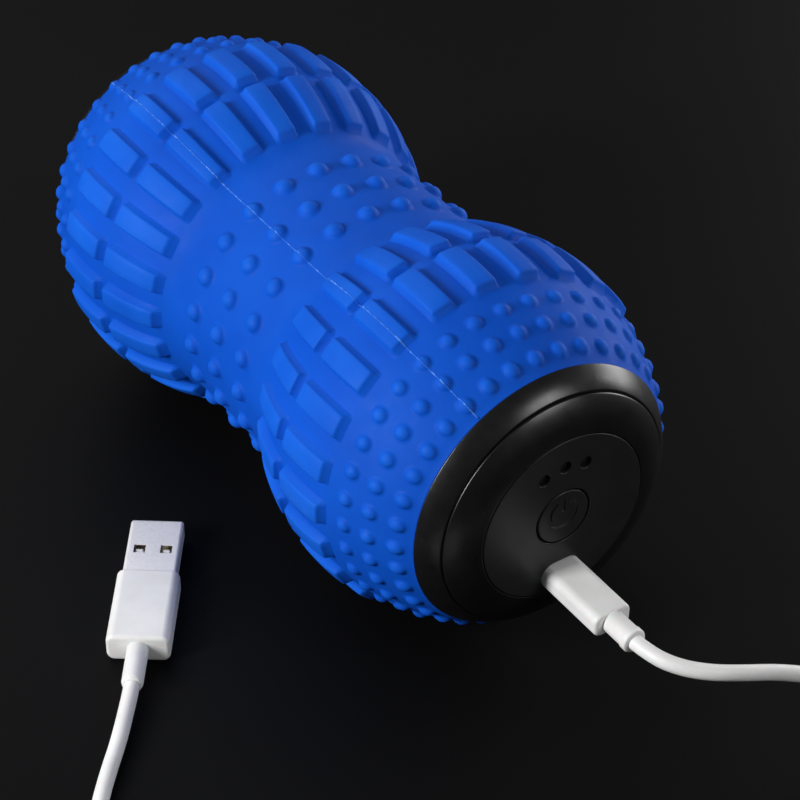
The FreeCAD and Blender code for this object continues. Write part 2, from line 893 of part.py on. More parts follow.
def make_cradle(label, turn):
    """A tray with two troughs that the cells lie in."""
    body = new_body(label, turn=turn)
    trough = d.cell_radius + d.fit_gap
    middle = d.cell_spacing / 2
    lip = -(trough - d.cradle_depth + d.cradle_wall)
    reach = root(trough * trough - lip * lip)
    side = middle + trough + d.cradle_wall / 2
    floor = -(trough + d.cradle_wall)

    def draw(sketch):
        corners = [
            (-side, floor),
            (side, floor),
            (side, lip),
            (middle + reach, lip, trough, 1),
            (middle - reach, lip),
            (-middle + reach, lip, trough, 1),
            (-middle - reach, lip),
            (-side, lip),
        ]
        outline(sketch, corners)

    pad(body, draw, -d.cell_start, -d.cell_start + d.cell_length)


# ---------------------------------------------------------------- wires and cord


def tube_along(points, radius, show=None):
    """A round tube on straight runs joined by tangent arcs, each as large as its runs allow."""
    edges, here, radii = [], points[0], []
    for before, corner, after in zip(points, points[1:], points[2:]):
        into, out = corner - before, after - corner
        half_turn = into.getAngle(out) / 2
        reach = 0.45 * min(into.Length, out.Length)
        radii.append(reach / math.tan(half_turn))
        into.normalize()
        out.normalize()
        start, end = corner - into * reach, corner + out * reach
        bisector = (out - into).normalize()
        middle = corner + bisector * (radii[-1] / math.cos(half_turn) - radii[-1])
        edges.append(Part.LineSegment(here, start).toShape())
        edges.append(Part.Arc(start, middle, end).toShape())
        here = end
    edges.append(Part.LineSegment(here, points[-1]).toShape())
    wire = Part.Wire(edges)
    section = Part.Wire(Part.Circle(points[0], points[1] - points[0], radius).toShape())
    tube = Part.BRepOffsetAPI.MakePipeShell(wire)
    tube.add(section)
    tube.build()
    tube.makeSolid()
    shape = tube.shape()
    if show:
        share = shape.Volume / (math.pi * radius**2 * wire.Length)
        listed = ", ".join(f"{r:.1f}" for r in radii)
        print(f"{show}: {wire.Length:.1f} mm long, volume {share:.4f} of section x length, radii {listed}")
    return shape, wire.Length


def make_leads():
    """The two wires from the cells to the board, past the motor."""
    cells_front = -d.cell_start.value + d.cell_length.value + d.cell_button_wall.value
    at_cell, out = d.cell_spacing.value / 2, d.lead_circle.value
    at_board = out - d.lead_inset.value
    straight, spread = d.lead_straight.value, d.lead_spread_run.value
    bend, end = FRAME_FRONT.value - straight, BOARD_BACK.value
    for label, side in (("battery_lead_left", 1), ("battery_lead_right", -1)):
        points = [
            Vector(cells_front, side * at_cell, 0),
            Vector(cells_front + straight, side * at_cell, 0),
            Vector(d.motor_start.value - spread, side * out, 0),
            Vector(bend, side * out, 0),
            Vector(end - d.lead_end.value, side * at_board, 0),
            Vector(end, side * at_board, 0),
        ]
        shape, _ = tube_along(points, d.lead_radius.value)
        solid_feature(label, shape)


# ---------------------------------------------------------------- charging cable

CORD_RADIUS = d.cord_diameter / 2
PLUG_BACK = d.plug_face + d.plug_length
PLUG_BOOT_END = PLUG_BACK + d.plug_boot_length
COIL_CENTRE = (135.5, -68.0)
USB_BOOT_END = Vector(39.7, -80.8, 0)
USB_TURN = 143.4

# The route of the cord where it is not coiled, chosen by hand: out of the charging plug, down to
# the surface and round to the coil, and from the coil to the boot of the supply plug.
CORD_TO_COIL = [
    (107.9, 0, 27.4),
    (113.4, 0.5, 27.4),
    (118.6, 3.4, 26.9),
    (122.4, 8.4, 25.8),
    (124.8, 15.1, 24.0),
    (126.4, 23, 21.2),
    (128.3, 31, 17.4),
    (131.4, 39, 12.8),
    (136.2, 46, 8.3),
    (143.2, 50.6, 4.8),
    (151.3, 50.8, 2.6),
    (158.2, 46, 1.75),
    (162.2, 38, 1.75),
    (163.6, 27.5, 1.75),
    (163.2, 14, 1.75),
    (162, -2, 1.75),
    (160.4, -20, 1.75),
    (158.6, -37, 1.75),
    (157, -48, 1.75),
    (156.2, -56.5, 1.75),
]
CORD_FROM_COIL = [
    (124, -88.75, 5.0),
    (113.5, -89.8, 2.9),
    (103.4, -93.4, 1.75),
    (94, -98.4, 1.75),
    (84.8, -103.2, 1.75),
    (75.4, -106, 1.75),
    (66.4, -104.4, 1.75),
    (58.4, -97.6, 1.9),
    (49.6, -88.9, 2.7),
    (39.7, -80.8, 3.5),
]


def make_charging_plug():
    """The plug in the port: a metal shell, a moulded body and a boot round the cord."""
    drop = -PORT_DROP
    shell = new_body("port_plug_shell")
    nose = d.plug_face - d.plug_shell_reach
    width, height = d.plug_shell_width, d.plug_shell_height
    pad(shell, lambda s: rectangle(s, 0, drop, width, height), nose, d.plug_face)
    inside = width - 2 * d.plug_shell_wall, height - 2 * d.plug_shell_wall
    floor = d.plug_face - d.plug_shell_back
    pad(shell, lambda s: rectangle(s, 0, drop, *inside), nose, floor, cut=True)
    body = new_body("port_plug_body")
    pad(body, lambda s: oval(s, 0, drop, d.plug_width, d.plug_height), d.plug_face, PLUG_BACK)
    boot = new_body("port_plug_boot")
    pad(boot, lambda s: circle(s, 0, drop, d.plug_boot_radius), PLUG_BACK, PLUG_BOOT_END)


def usb_body(label):
    """A body whose X axis runs from the end of the supply plug's boot to its tip."""
    body = new_body(label, height=d.usb_body_height / 2, x=USB_BOOT_END.x, y=USB_BOOT_END.y)
    body.Placement.Rotation = FreeCAD.Rotation(Vector(0, 0, 1), USB_TURN)
    return body


def cut_down(body, draw, top, depth):
    """Cuts the shapes that draw makes, seen from above, from a height down to a depth."""
    sketch = new_sketch(body, "XY_Plane", top)
    draw(sketch)
    pocket = body.newObject("PartDesign::Pocket", f"{body.Name}_window")
    pocket.Profile = sketch
    pocket.setExpression("Length", size_of(depth).text)
    sketch.Visibility = False


USB_BODY_END = d.usb_boot_length + d.usb_body_length
USB_TIP = USB_BODY_END + d.usb_shell_length
CONTACT_PLACES = (-3.5, -1.0, 1.0, 3.5)


def make_supply_plug():
    """The flat supply plug: metal shell with two windows, tongue, contacts, body and boot."""
    boot = usb_body("supply_plug_boot")
    pad(boot, lambda s: circle(s, 0, 0, d.usb_boot_radius), 0, d.usb_boot_length)
    body = usb_body("supply_plug_body")
    size = d.usb_body_width, d.usb_body_height
    pad(body, lambda s: rectangle(s, 0, 0, *size), d.usb_boot_length, USB_BODY_END)
    shell = usb_body("supply_plug_shell")
    size = d.usb_shell_width, d.usb_shell_height
    pad(shell, lambda s: rectangle(s, 0, 0, *size), USB_BODY_END, USB_TIP)
    wall = d.usb_shell_wall
    inside = d.usb_shell_width - 2 * wall, d.usb_shell_height - 2 * wall
    pad(shell, lambda s: rectangle(s, 0, 0, *inside), USB_BODY_END, USB_TIP, cut=True)
    half = d.usb_shell_height / 2

    def windows(sketch):
        across = d.usb_window_size
        for side in (-1, 1):
            place = USB_TIP - d.usb_window_back, side * d.usb_window_side
            rectangle(sketch, *place, across, across)

    cut_down(shell, windows, half, 2 * wall)
    tongue = usb_body("supply_plug_tongue")
    flat = inside[0] - 2 * d.fit_gap, d.usb_tongue_wall
    middle = -(half - wall - d.usb_tongue_wall / 2)
    end = USB_TIP - d.usb_tongue_back
    pad(tongue, lambda s: rectangle(s, 0, middle, *flat), USB_BODY_END, end)
    contacts = usb_body("supply_plug_contacts")
    top = middle + d.usb_tongue_wall / 2

    def strips(sketch):
        thick = d.usb_contact_wall
        for side in CONTACT_PLACES:
            rectangle(sketch, side, top + thick / 2, d.usb_contact_width, thick)

    pad(contacts, strips, USB_BODY_END, end - d.usb_contact_back)


def make_cord():
    """The free cord: two tubes and the ring-shaped solid of the coil between them."""
    on_floor = FreeCAD.Placement(Vector(0, 0, 0), FreeCAD.Rotation())
    radius = CORD_RADIUS.value
    total = 0
    for label, route in (("cord_to_coil", CORD_TO_COIL), ("cord_from_coil", CORD_FROM_COIL)):
        shape, length = tube_along([Vector(*p) for p in route], radius, show=label)
        solid_feature(label, shape, on_floor)
        total += length
    body = new_body("cord_coil", height=0, x=COIL_CENTRE[0], y=COIL_CENTRE[1])
    sketch = new_sketch(body, "XY_Plane")
    circle(sketch, 0, 0, d.coil_radius + d.cord_diameter)
    circle(sketch, 0, 0, d.coil_radius - d.cord_diameter)
    ring = body.newObject("PartDesign::Pad", "cord_coil_ring")
    ring.Profile = sketch
    ring.setExpression("Length", (d.coil_layers * d.cord_diameter).text)
    turns = 2 * d.coil_layers.value + 0.25
    total += turns * 2 * math.pi * d.coil_radius.value
    print(f"cord: {total:.0f} mm in all, with {turns} turns in the coil")


# ---------------------------------------------------------------- build and write


def build_roller():
    """Makes every piece of the roller itself."""
    make_sleeve()
    make_core_half("core_shell_upper", 0)
    make_core_half("core_shell_lower", 180)
    for end, turn in (("front", 0), ("rear", 180)):
        make_end_frame(f"{end}_end_frame", turn, end == "front")
        make_bezel_ring(f"{end}_bezel_ring", turn)
        make_inner_ring(f"{end}_inner_ring", turn)
    make_control_panel()
    make_rear_panel()
    make_power_button()
    make_switch()
    make_lights()
    make_board()
    make_socket()
    board_grip = d.board_wall + d.board_screw_hold
    make_screws("board_screws", POST_ANGLES, d.post_circle, d.board_front, board_grip)
    make_bulkhead("front_bulkhead", MOTOR_END, FRONT_PLATE)
    make_bulkhead("rear_bulkhead", REAR_PLATE, d.motor_start)
    make_motor()
    make_screws("front_motor_screws", SIDE_ANGLES, d.motor_screw_circle, FRONT_PLATE, SCREW_GRIP)
    make_screws("rear_motor_screws", SIDE_ANGLES, d.motor_screw_circle, -REAR_PLATE, SCREW_GRIP, 180)
    make_rotor()
    make_cells()
    make_cradle("battery_tray", 0)
    make_cradle("battery_cover", 180)
    make_leads()


def build_cable():
    """Makes the charging cable."""
    make_charging_plug()
    make_supply_plug()
    make_cord()


def check_and_write():
    """Recomputes, checks every object and sub-part, and writes one file for each sub-part."""
    doc.recompute()
    failed = [o.Name for o in doc.Objects if {"Invalid", "Error"} & set(o.State)]
    broken = [p.Label for p in parts if p.Shape.isNull() or not p.Shape.isValid()]
    if failed or broken:
        raise RuntimeError(f"failed features {failed}, bad shapes {broken}")
    for piece in parts:
        piece.Shape.exportStep(f"parts/{piece.Label}.step")
        box = piece.Shape.optimalBoundingBox()
        spans = ", ".join(
            f"{low:.2f}..{high:.2f}"
            for low, high in ((box.XMin, box.XMax), (box.YMin, box.YMax), (box.ZMin, box.ZMax))
        )
        print(f"{piece.Label}: {len(piece.Shape.Solids)} solid, {piece.Shape.Volume:.1f} mm3, {spans}")


build_roller()
build_cable()
check_and_write()
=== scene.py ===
# %% [markdown]
# # A vibrating massage roller, built up in Blender
#
# The roller is a stiff plastic core in a one-piece silicone skin. The skin swells into two lobes with
# a waist between them, and carries raised blocks and round nubs. A black cap closes each end, and the
# front cap holds a power button, three lights and a charging port. A white cable is plugged into it.
#
# The measured model is loaded first and stays where it is. Every visible surface is then worked out
# again with numpy, because a formula gives even curves and soft edges that a coarse mesh lacks.

import json
import math

import bmesh
import bpy
import numpy as np
from mathutils import Matrix, Vector
from mathutils.geometry import delaunay_2d_cdt


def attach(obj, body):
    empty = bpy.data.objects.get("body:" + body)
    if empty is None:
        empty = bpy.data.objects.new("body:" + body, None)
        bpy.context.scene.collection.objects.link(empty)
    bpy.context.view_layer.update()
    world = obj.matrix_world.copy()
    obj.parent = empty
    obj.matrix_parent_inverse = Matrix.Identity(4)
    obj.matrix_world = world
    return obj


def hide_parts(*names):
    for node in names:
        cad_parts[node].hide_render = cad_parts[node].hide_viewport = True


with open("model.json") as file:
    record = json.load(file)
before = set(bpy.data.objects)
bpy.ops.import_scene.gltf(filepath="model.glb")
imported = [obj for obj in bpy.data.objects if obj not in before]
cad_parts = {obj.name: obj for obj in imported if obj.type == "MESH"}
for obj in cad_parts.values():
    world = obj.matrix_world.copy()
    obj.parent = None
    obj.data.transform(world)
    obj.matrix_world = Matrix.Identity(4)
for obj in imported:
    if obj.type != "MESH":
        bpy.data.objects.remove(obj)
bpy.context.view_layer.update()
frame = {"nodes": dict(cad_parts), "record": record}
nodes = frame["nodes"]
scene = bpy.context.scene

# %% [markdown]
# ## Camera and cord first
#
# The camera decides which length of the cord is seen, so both come before everything else. The camera
# looks down on the control end from about 39 degrees, through a long lens that hardly narrows the far
# lobe. Its three axes are written out, so no tracking constraint is needed.

# %% Camera
EYE = Vector((0.413684, -0.265110, 0.419749))
RIGHT = Vector((0.5608, 0.8280, 0.0))
UP = Vector((-0.5240, 0.3549, 0.7742))
BACK = Vector((0.6410, -0.4342, 0.6329))

lens = bpy.data.cameras.new("view_lens")
lens.lens = 123.19
lens.sensor_width = 36.0
camera = bpy.data.objects.new("view", lens)
scene.collection.objects.link(camera)
camera.matrix_world = Matrix.Translation(EYE) @ Matrix((RIGHT, UP, BACK)).transposed().to_4x4()
scene.camera = camera
print("camera at", tuple(round(v, 3) for v in EYE))

# %% [markdown]
# ## The charging cord
#
# The cord is a limp white tube 3.5 mm thick. It leaves the plug straight, sinks to the table, runs round
# into a small coil of put-away length and comes back to the supply plug. A NURBS curve of order 3 turns
# a few given points into one smooth bend with no kinks. The coil is more points of the same curve:
# a flat spiral inwards on the table, then a second one outwards on top of it.

# %% Points of the cord, in millimetres
MM = 0.001
CORD_THICK = 3.5
CORD_TO_COIL = [
    (107.9, 0, 27.4),
    (113.4, 0.5, 27.4),
    (118.6, 3.4, 26.9),
    (122.4, 8.4, 25.8),
    (124.8, 15.1, 24.0),
    (126.4, 23, 21.2),
    (128.3, 31, 17.4),
    (131.4, 39, 12.8),
    (136.2, 46, 8.3),
    (143.2, 50.6, 4.8),
    (151.3, 50.8, 2.6),
    (158.2, 46, 1.75),
    (162.2, 38, 1.75),
    (163.6, 27.5, 1.75),
    (163.2, 14, 1.75),
    (162, -2, 1.75),
    (160.6, -20, 1.75),
    (159.6, -37, 1.75),
    (159.2, -48, 1.75),
    (159.3, -58, 1.75),
]
CORD_FROM_COIL = [
    (124.5, -91.0, 4.9),
    (113.5, -91.2, 2.9),
    (103.4, -93.8, 1.75),
    (94, -98.4, 1.75),
    (84.8, -103.2, 1.75),
    (75.4, -106, 1.75),
    (66.4, -104.4, 1.75),
    (58.4, -97.6, 1.9),
    (49.6, -88.9, 2.7),
    (39.7, -80.8, 3.5),
]
COIL_MIDDLE = (135.5, -68.0)
COIL_START = 23.2
COIL_PITCH = 3.56
TURNS_DOWN = 2.25
TURNS_UP = 2.0
POINTS_PER_TURN = 16


def coil_points():
    """The spiral's points. The radius falls by one pitch a turn and then grows again, while the height
    climbs one thickness between the two. Each point is moved out by 8 / (6 + 2 cos(step)), because the
    smooth curve runs inside its points."""
    turns = TURNS_DOWN + TURNS_UP
    at = np.linspace(0, turns, round(turns * POINTS_PER_TURN) + 1)
    radius = COIL_START - COIL_PITCH * (TURNS_DOWN - np.abs(TURNS_DOWN - at))
    climb = np.clip((at - TURNS_DOWN + 0.22) / 0.44, 0, 1)
    height = CORD_THICK * (0.5 + 1.02 * climb * climb * (3 - 2 * climb))
    step = 2 * math.pi / POINTS_PER_TURN
    radius = radius * 8 / (6 + 2 * math.cos(step))
    angle = -2 * math.pi * at
    x = COIL_MIDDLE[0] + radius * np.cos(angle)
    y = COIL_MIDDLE[1] + radius * np.sin(angle)
    return list(zip(x.tolist(), y.tolist(), height.tolist()))


coil = coil_points()
cord_route = CORD_TO_COIL + coil + CORD_FROM_COIL
print("cord points:", len(cord_route), "of them in the coil:", len(coil))

# %% The cord's curve
cord_curve = bpy.data.curves.new("charging_cord", "CURVE")
cord_curve.dimensions = "3D"
cord_line = cord_curve.splines.new("NURBS")
cord_line.points.add(len(cord_route) - 1)
for point, place in zip(cord_line.points, cord_route):
    point.co = (*(MM * c for c in place), 1.0)
cord_line.order_u = 3
cord_line.use_endpoint_u = True
cord_line.resolution_u = 12
cord_curve.bevel_depth = MM * CORD_THICK / 2
cord_curve.bevel_resolution = 5
cord_curve.use_fill_caps = True
cord = bpy.data.objects.new("charging_cord", cord_curve)
scene.collection.objects.link(cord)

# %% [markdown]
# ## Tools for surfaces
#
# Nearly every part here is a grid: rows of points joined to the next row by four-sided faces. One helper
# lists the faces of a grid, and another puts points and faces into a mesh, merges points that meet at a
# pole and turns every face outwards. All sizes are in millimetres until that last step.

# %% Grids and meshes
def grid_faces(rows, columns, wrap_rows=False, wrap_columns=True):
    """Faces (i, j), (i+1, j), (i+1, j+1), (i, j+1) of a grid; wrapping joins its last row or column to
    the first."""
    i = np.arange(rows if wrap_rows else rows - 1)
    j = np.arange(columns if wrap_columns else columns - 1)
    i, j = (g.ravel() for g in np.meshgrid(i, j, indexing="ij"))
    below, beside = (i + 1) % rows, (j + 1) % columns
    corners = (i * columns + j, below * columns + j, below * columns + beside, i * columns + beside)
    return np.stack(corners, axis=1)


def add_piece(name, points, faces, flat=(), merge=0.0005):
    """A mesh object of these points (mm) and faces. Faces in the planes named by flat, such as ("x", 82.5),
    are left unsmoothed."""
    mesh = bpy.data.meshes.new(name)
    points = np.asarray(points, dtype=np.float64).reshape(-1, 3) * MM
    mesh.from_pydata(points.tolist(), [], [tuple(f) for f in faces])
    build = bmesh.new()
    build.from_mesh(mesh)
    bmesh.ops.remove_doubles(build, verts=build.verts, dist=merge * MM)
    bmesh.ops.dissolve_degenerate(build, edges=build.edges, dist=1e-7)
    bmesh.ops.recalc_face_normals(build, faces=build.faces)
    open_edges = sum(1 for e in build.edges if not e.is_manifold)
    build.to_mesh(mesh)
    build.free()
    smooth = np.ones(len(mesh.polygons), dtype=bool)
    centres = np.empty(3 * len(mesh.polygons))
    mesh.polygons.foreach_get("center", centres)
    facing = np.empty(3 * len(mesh.polygons))
    mesh.polygons.foreach_get("normal", facing)
    for axis, value in flat:
        k = "xyz".index(axis)
        level = np.abs(centres.reshape(-1, 3)[:, k] - value * MM) < 1e-6
        smooth &= ~(level & (np.abs(facing.reshape(-1, 3)[:, k]) > 0.999))
    mesh.polygons.foreach_set("use_smooth", smooth)
    piece = bpy.data.objects.new(name, mesh)
    scene.collection.objects.link(piece)
    print(f"{name}: {len(mesh.polygons)} faces, {open_edges} open edges")
    return piece


AXIS = 43.0
CENTRE = np.array([0.0, 0.0, AXIS])


def round_axis(station, radius, angle):
    """A point at a station along the roller, a radius from its axis and an angle from the top: x is the
    station, y = radius * sin(angle) and z = axis + radius * cos(angle)."""
    station, radius, angle = np.broadcast_arrays(station, radius, angle)
    return np.stack([station, radius * np.sin(angle), AXIS + radius * np.cos(angle)], axis=-1)


# %% [markdown]
# ## The silicone skin
#
# The skin is moulded in one piece about 3 mm thick, so it is one closed surface here too. It would be easy
# to drop little domes and boxes on a tube, but the real bumps grow out of the skin with a small soft foot.
# So one grid covers the whole skin, and its lines are moved: beside a block they crowd together at the
# foot and at the top edge, and round a nub a square of the grid is drawn into a circle. The height
# over the smooth body is then a plain function of the distance to the nearest bump.

# %% The smooth body under the bumps
CROWN_STATION = 45.75
CROWN_RADIUS = 41.0
LOBE_ARC = 50.1
WAIST_RADIUS = 33.95
WAIST_FILLET = 12.0
LOBE_MIDDLE = CROWN_RADIUS - LOBE_ARC
FILLET_MIDDLE = WAIST_RADIUS + WAIST_FILLET
ARCS = LOBE_ARC + WAIST_FILLET
FILLET_STATION = CROWN_STATION - math.sqrt(ARCS**2 - (FILLET_MIDDLE - LOBE_MIDDLE) ** 2)
MEET_STATION = CROWN_STATION + (FILLET_STATION - CROWN_STATION) * LOBE_ARC / ARCS


def body_radius(station):
    """Waist radius up to the fillet, then fillet middle - sqrt(fillet^2 - run^2), and from where the arcs
    meet, lobe middle + sqrt(lobe^2 - run^2). Both halves are alike."""
    side = np.abs(station)
    fillet_run = np.clip(side - FILLET_STATION, 0, WAIST_FILLET)
    fillet = FILLET_MIDDLE - np.sqrt(WAIST_FILLET**2 - fillet_run**2)
    lobe = LOBE_MIDDLE + np.sqrt(LOBE_ARC**2 - (side - CROWN_STATION) ** 2)
    return np.where(side < MEET_STATION, fillet, lobe)


def body_normal(station):
    """The unit direction out of the smooth body, as parts along the axis and away from it, from the
    slope of the radius over a hundredth of a millimetre."""
    slope = (body_radius(station + 0.005) - body_radius(station - 0.005)) / 0.01
    size = np.sqrt(1 + slope**2)
    return -slope / size, 1 / size


print("fillet starts at", round(FILLET_STATION, 2), "and meets the lobe at", round(MEET_STATION, 2))

# %% Blocks: where the grid lines stand, and the height
BLOCK_PITCH = 15.0
BLOCK_HEIGHT = 2.0
BLOCK_FOOT = 4.5
SIDE_SLOPE = 1.3
END_SLOPE = 0.9
BLOCK_CORNER = 1.2
BLOCKS = ((22.0, 37.5), (39.0, 54.3))
SLOPE_AT = np.array([0.0, 0.72, 0.95, 1.3])
SLOPE_HEIGHT = np.array([0.0, 0.78, 0.94, 1.0])
FOOT_ROOM = 0.35


def block_lines(start, end, inside=5):
    """Stations of the grid lines over one block: a soft foot, the slope's four points and an even run."""
    rise = np.concatenate([[-FOOT_ROOM], SLOPE_AT * END_SLOPE])
    top = np.linspace(start + rise[-1], end - rise[-1], inside + 1)[1:-1]
    return np.concatenate([start + rise, top, (end - rise)[::-1]])


def column_angle(index):
    """Angle in degrees of a grid line, counted from the middle of its block column: the lines 0.5, 1.5, ...
    7.5 from the middle go to the top, the slope's points, the foot and the half pitch."""
    inner = BLOCK_FOOT - SIDE_SLOPE * SLOPE_AT[::-1]
    targets = np.concatenate([[0, 1.05], inner, [BLOCK_FOOT + FOOT_ROOM, 6.1, BLOCK_PITCH / 2]])
    lines = np.concatenate([[0], np.arange(0.5, 8.0)])
    return np.sign(index) * np.interp(np.abs(index), lines, targets)


def block_height(station, offset):
    """Height over the body at a station and an angle from the column's middle. The distance inside a
    rounded rectangle, measured in slopes, is read off the slope's profile."""
    height = np.zeros(np.broadcast(station, offset).shape)
    side = np.abs(station)
    across = (BLOCK_FOOT - np.abs(offset)) / SIDE_SLOPE
    corner = BLOCK_CORNER / END_SLOPE
    for start, end in BLOCKS:
        along = ((end - start) / 2 - np.abs(side - (start + end) / 2)) / END_SLOPE
        short = np.hypot(np.maximum(corner - across, 0), np.maximum(corner - along, 0))
        inside = np.minimum(corner - short, np.minimum(across, along))
        height = np.maximum(height, BLOCK_HEIGHT * np.interp(inside, SLOPE_AT, SLOPE_HEIGHT, left=0))
    return height


print("lines over a block:", len(block_lines(*BLOCKS[0])))

# %% Nubs: a square of the grid drawn into a circle
def cap_height(distance, foot, height):
    """A ball's cap: sqrt(ball^2 - distance^2) - (ball - height), where the ball's radius is
    (foot^2 + height^2) / (2 height)."""
    ball = (foot**2 + height**2) / (2 * height)
    return np.maximum(np.sqrt(np.maximum(ball**2 - distance**2, 0)) - (ball - height), 0)


def round_cell(across, along, step_across, step_along, rings, radii, edge_across, edge_along):
    """Moves grid points, counted from a nub's middle, in millimetres. The larger count is the ring of the
    square, and the angle on the circle is 45 degrees times the smaller count over the larger. Rings up to
    the foot lie on circles, and past it the points fade back to the square grid."""
    ring = np.maximum(np.abs(across), np.abs(along))
    wide = np.abs(across) >= np.abs(along)
    share = np.where(wide, along, across) / ring
    near, far = np.cos(math.pi / 4 * share), np.sin(math.pi / 4 * share)
    radius = np.interp(ring, rings, radii)
    circle_across = radius * np.where(wide, np.sign(across) * near, far)
    circle_along = radius * np.where(wide, far, np.sign(along) * near)
    circular = np.minimum(
        np.interp(np.abs(across), *edge_across), np.interp(np.abs(along), *edge_along)
    )
    move_across = circular * circle_across + (1 - circular) * across * step_across
    move_along = circular * circle_along + (1 - circular) * along * step_along
    return move_across, move_along


# %% Rows of the skin's grid
COLUMNS = 360
line_index = np.arange(COLUMNS) + 0.5
EVEN = line_index

WAIST_ROWS = 13
WAIST_PITCH = 10.0
WAIST_NUB = (2.3, 1.7)
END_ROWS = 10
END_PITCH = 5.85
END_FIRST = 59.3
END_NUB = (1.72, 1.05)
NUB_TURN = 10.0


def count_from(index, spacing):
    """How far each grid line is from the nearest multiple of a spacing."""
    return index - spacing * np.round(index / spacing)


grouped = EVEN - count_from(EVEN, BLOCK_PITCH) + column_angle(count_from(EVEN, BLOCK_PITCH))


def waist_rows():
    """Rows over the three rings of large nubs, 13 spaces to a ring: (station, angle, height)."""
    k = np.arange(3 * WAIST_ROWS + 1)
    station = (k / WAIST_ROWS - 1.5) * WAIST_PITCH
    ring = np.clip(np.round(station / WAIST_PITCH), -1, 1)
    along = (station - ring * WAIST_PITCH) * WAIST_ROWS / WAIST_PITCH
    across = count_from(EVEN, BLOCK_PITCH)
    across, along = np.meshgrid(across, along)
    degree = math.radians(1) * WAIST_RADIUS
    foot, height = WAIST_NUB
    rings = (0, 0.5, 1.5, 2.5, 3.5, 4.5, 5.5, 7.5)
    radii = foot * np.array([0, 0.2, 0.47, 0.7, 0.89, 1.03, 1.2, 1.6])
    move_across, move_along = round_cell(
        across, along, degree, WAIST_PITCH / WAIST_ROWS, rings, radii,
        ((4.5, 5.5, 7.5), (1, 0.8, 0)), ((4.5, 5.5, 6.5), (1, 0.75, 0)),
    )
    new_station = ring[:, None] * WAIST_PITCH + move_along
    angle = EVEN - across + move_across / degree
    return new_station, angle, cap_height(np.hypot(move_across, move_along), foot, height)


def end_rows():
    """Rows over the three rings of small nubs by the front cap, 10 spaces to a ring."""
    k = np.arange(3 * END_ROWS)
    ring = k // END_ROWS
    along = k % END_ROWS - (END_ROWS - 1) / 2
    across = count_from(EVEN, NUB_TURN)
    across, along = np.meshgrid(across, along)
    middle = (END_FIRST + ring * END_PITCH)[:, None]
    degree = math.radians(1) * body_radius(middle)
    foot, height = END_NUB
    rings = (0, 0.5, 1.5, 2.5, 3.5, 4.5, 5)
    radii = foot * np.array([0, 0.3, 0.64, 0.88, 1.03, 1.22, 1.4])
    fade = ((3.5, 4.5, 5), (1, 0.75, 0))
    move_across, move_along = round_cell(
        across, along, degree, END_PITCH / END_ROWS, rings, radii, fade, fade
    )
    angle = EVEN - across + move_across / degree
    return middle + move_along, angle, cap_height(np.hypot(move_across, move_along), foot, height)


def block_rows():
    """Rows over both blocks of a lobe, with one line in the gap between them."""
    gap = (BLOCKS[0][1] + BLOCKS[1][0]) / 2
    station = np.concatenate([block_lines(*BLOCKS[0]), [gap], block_lines(*BLOCKS[1])])[:, None]
    offset = (grouped - (EVEN - count_from(EVEN, BLOCK_PITCH)))[None, :]
    height = block_height(station, offset)
    return np.broadcast_to(station, height.shape), np.broadcast_to(grouped, height.shape), height


def plain_rows(stations, shares):
    """Smooth rows between two patterns: shares says how far the lines have moved from even to grouped."""
    station = np.repeat(np.array(stations)[:, None], COLUMNS, axis=1)
    share = np.array(shares)[:, None]
    return station, (1 - share) * EVEN + share * grouped, np.zeros(station.shape)


print("rows at the waist:", waist_rows()[0].shape[0], "and by each cap:", end_rows()[0].shape[0])

# %% The outer face, the lips and the inner wall
SKIN_EDGE = 74.3
SKIN_WALL = 3.0
LIP = 0.3


def half_skin():
    """Rows from the waist to the front cap: fillet, blocks, plain band, end nubs."""
    parts = [
        plain_rows([16.3, 17.6, 18.8, 19.9, 20.8], [0.1, 0.3, 0.55, 0.8, 1.0]),
        block_rows(),
        plain_rows([55.6], [0.5]),
        end_rows(),
    ]
    return [np.concatenate(group) for group in zip(*parts)]


def mirrored(rows):
    """The same rows on the other side of the waist, in the order that keeps the grid running one way."""
    station, angle, height = rows
    return [-station[::-1], angle[::-1], height[::-1]]


def edge_rows():
    """The lip at the front: a quarter round of 0.3 mm, the end face, and the foot of the inner wall."""
    turn = np.radians([0, 30, 60, 90])
    station = SKIN_EDGE - LIP + LIP * np.sin(turn)
    radius = body_radius(SKIN_EDGE) - LIP + LIP * np.cos(turn)
    inner = body_radius(SKIN_EDGE) - SKIN_WALL * 1.02
    station = np.concatenate([station, [SKIN_EDGE, SKIN_EDGE - LIP]])
    radius = np.concatenate([radius, [inner + LIP, inner]])
    return station, radius


side = half_skin()
outer = [np.concatenate(g) for g in zip(mirrored(side), waist_rows(), side)]
station, angle, raised = outer
skin_x, skin_r = body_normal(station)
blocky = (np.abs(station) > BLOCKS[0][0] - 1) & (np.abs(station) < BLOCKS[1][1] + 1)
skin_x, skin_r = np.where(blocky, 0, skin_x), np.where(blocky, 1, skin_r)
outer_points = round_axis(
    station + raised * skin_x, body_radius(station) + raised * skin_r, np.radians(angle)
)
print("outer face:", outer_points.shape[0], "rows of", COLUMNS)

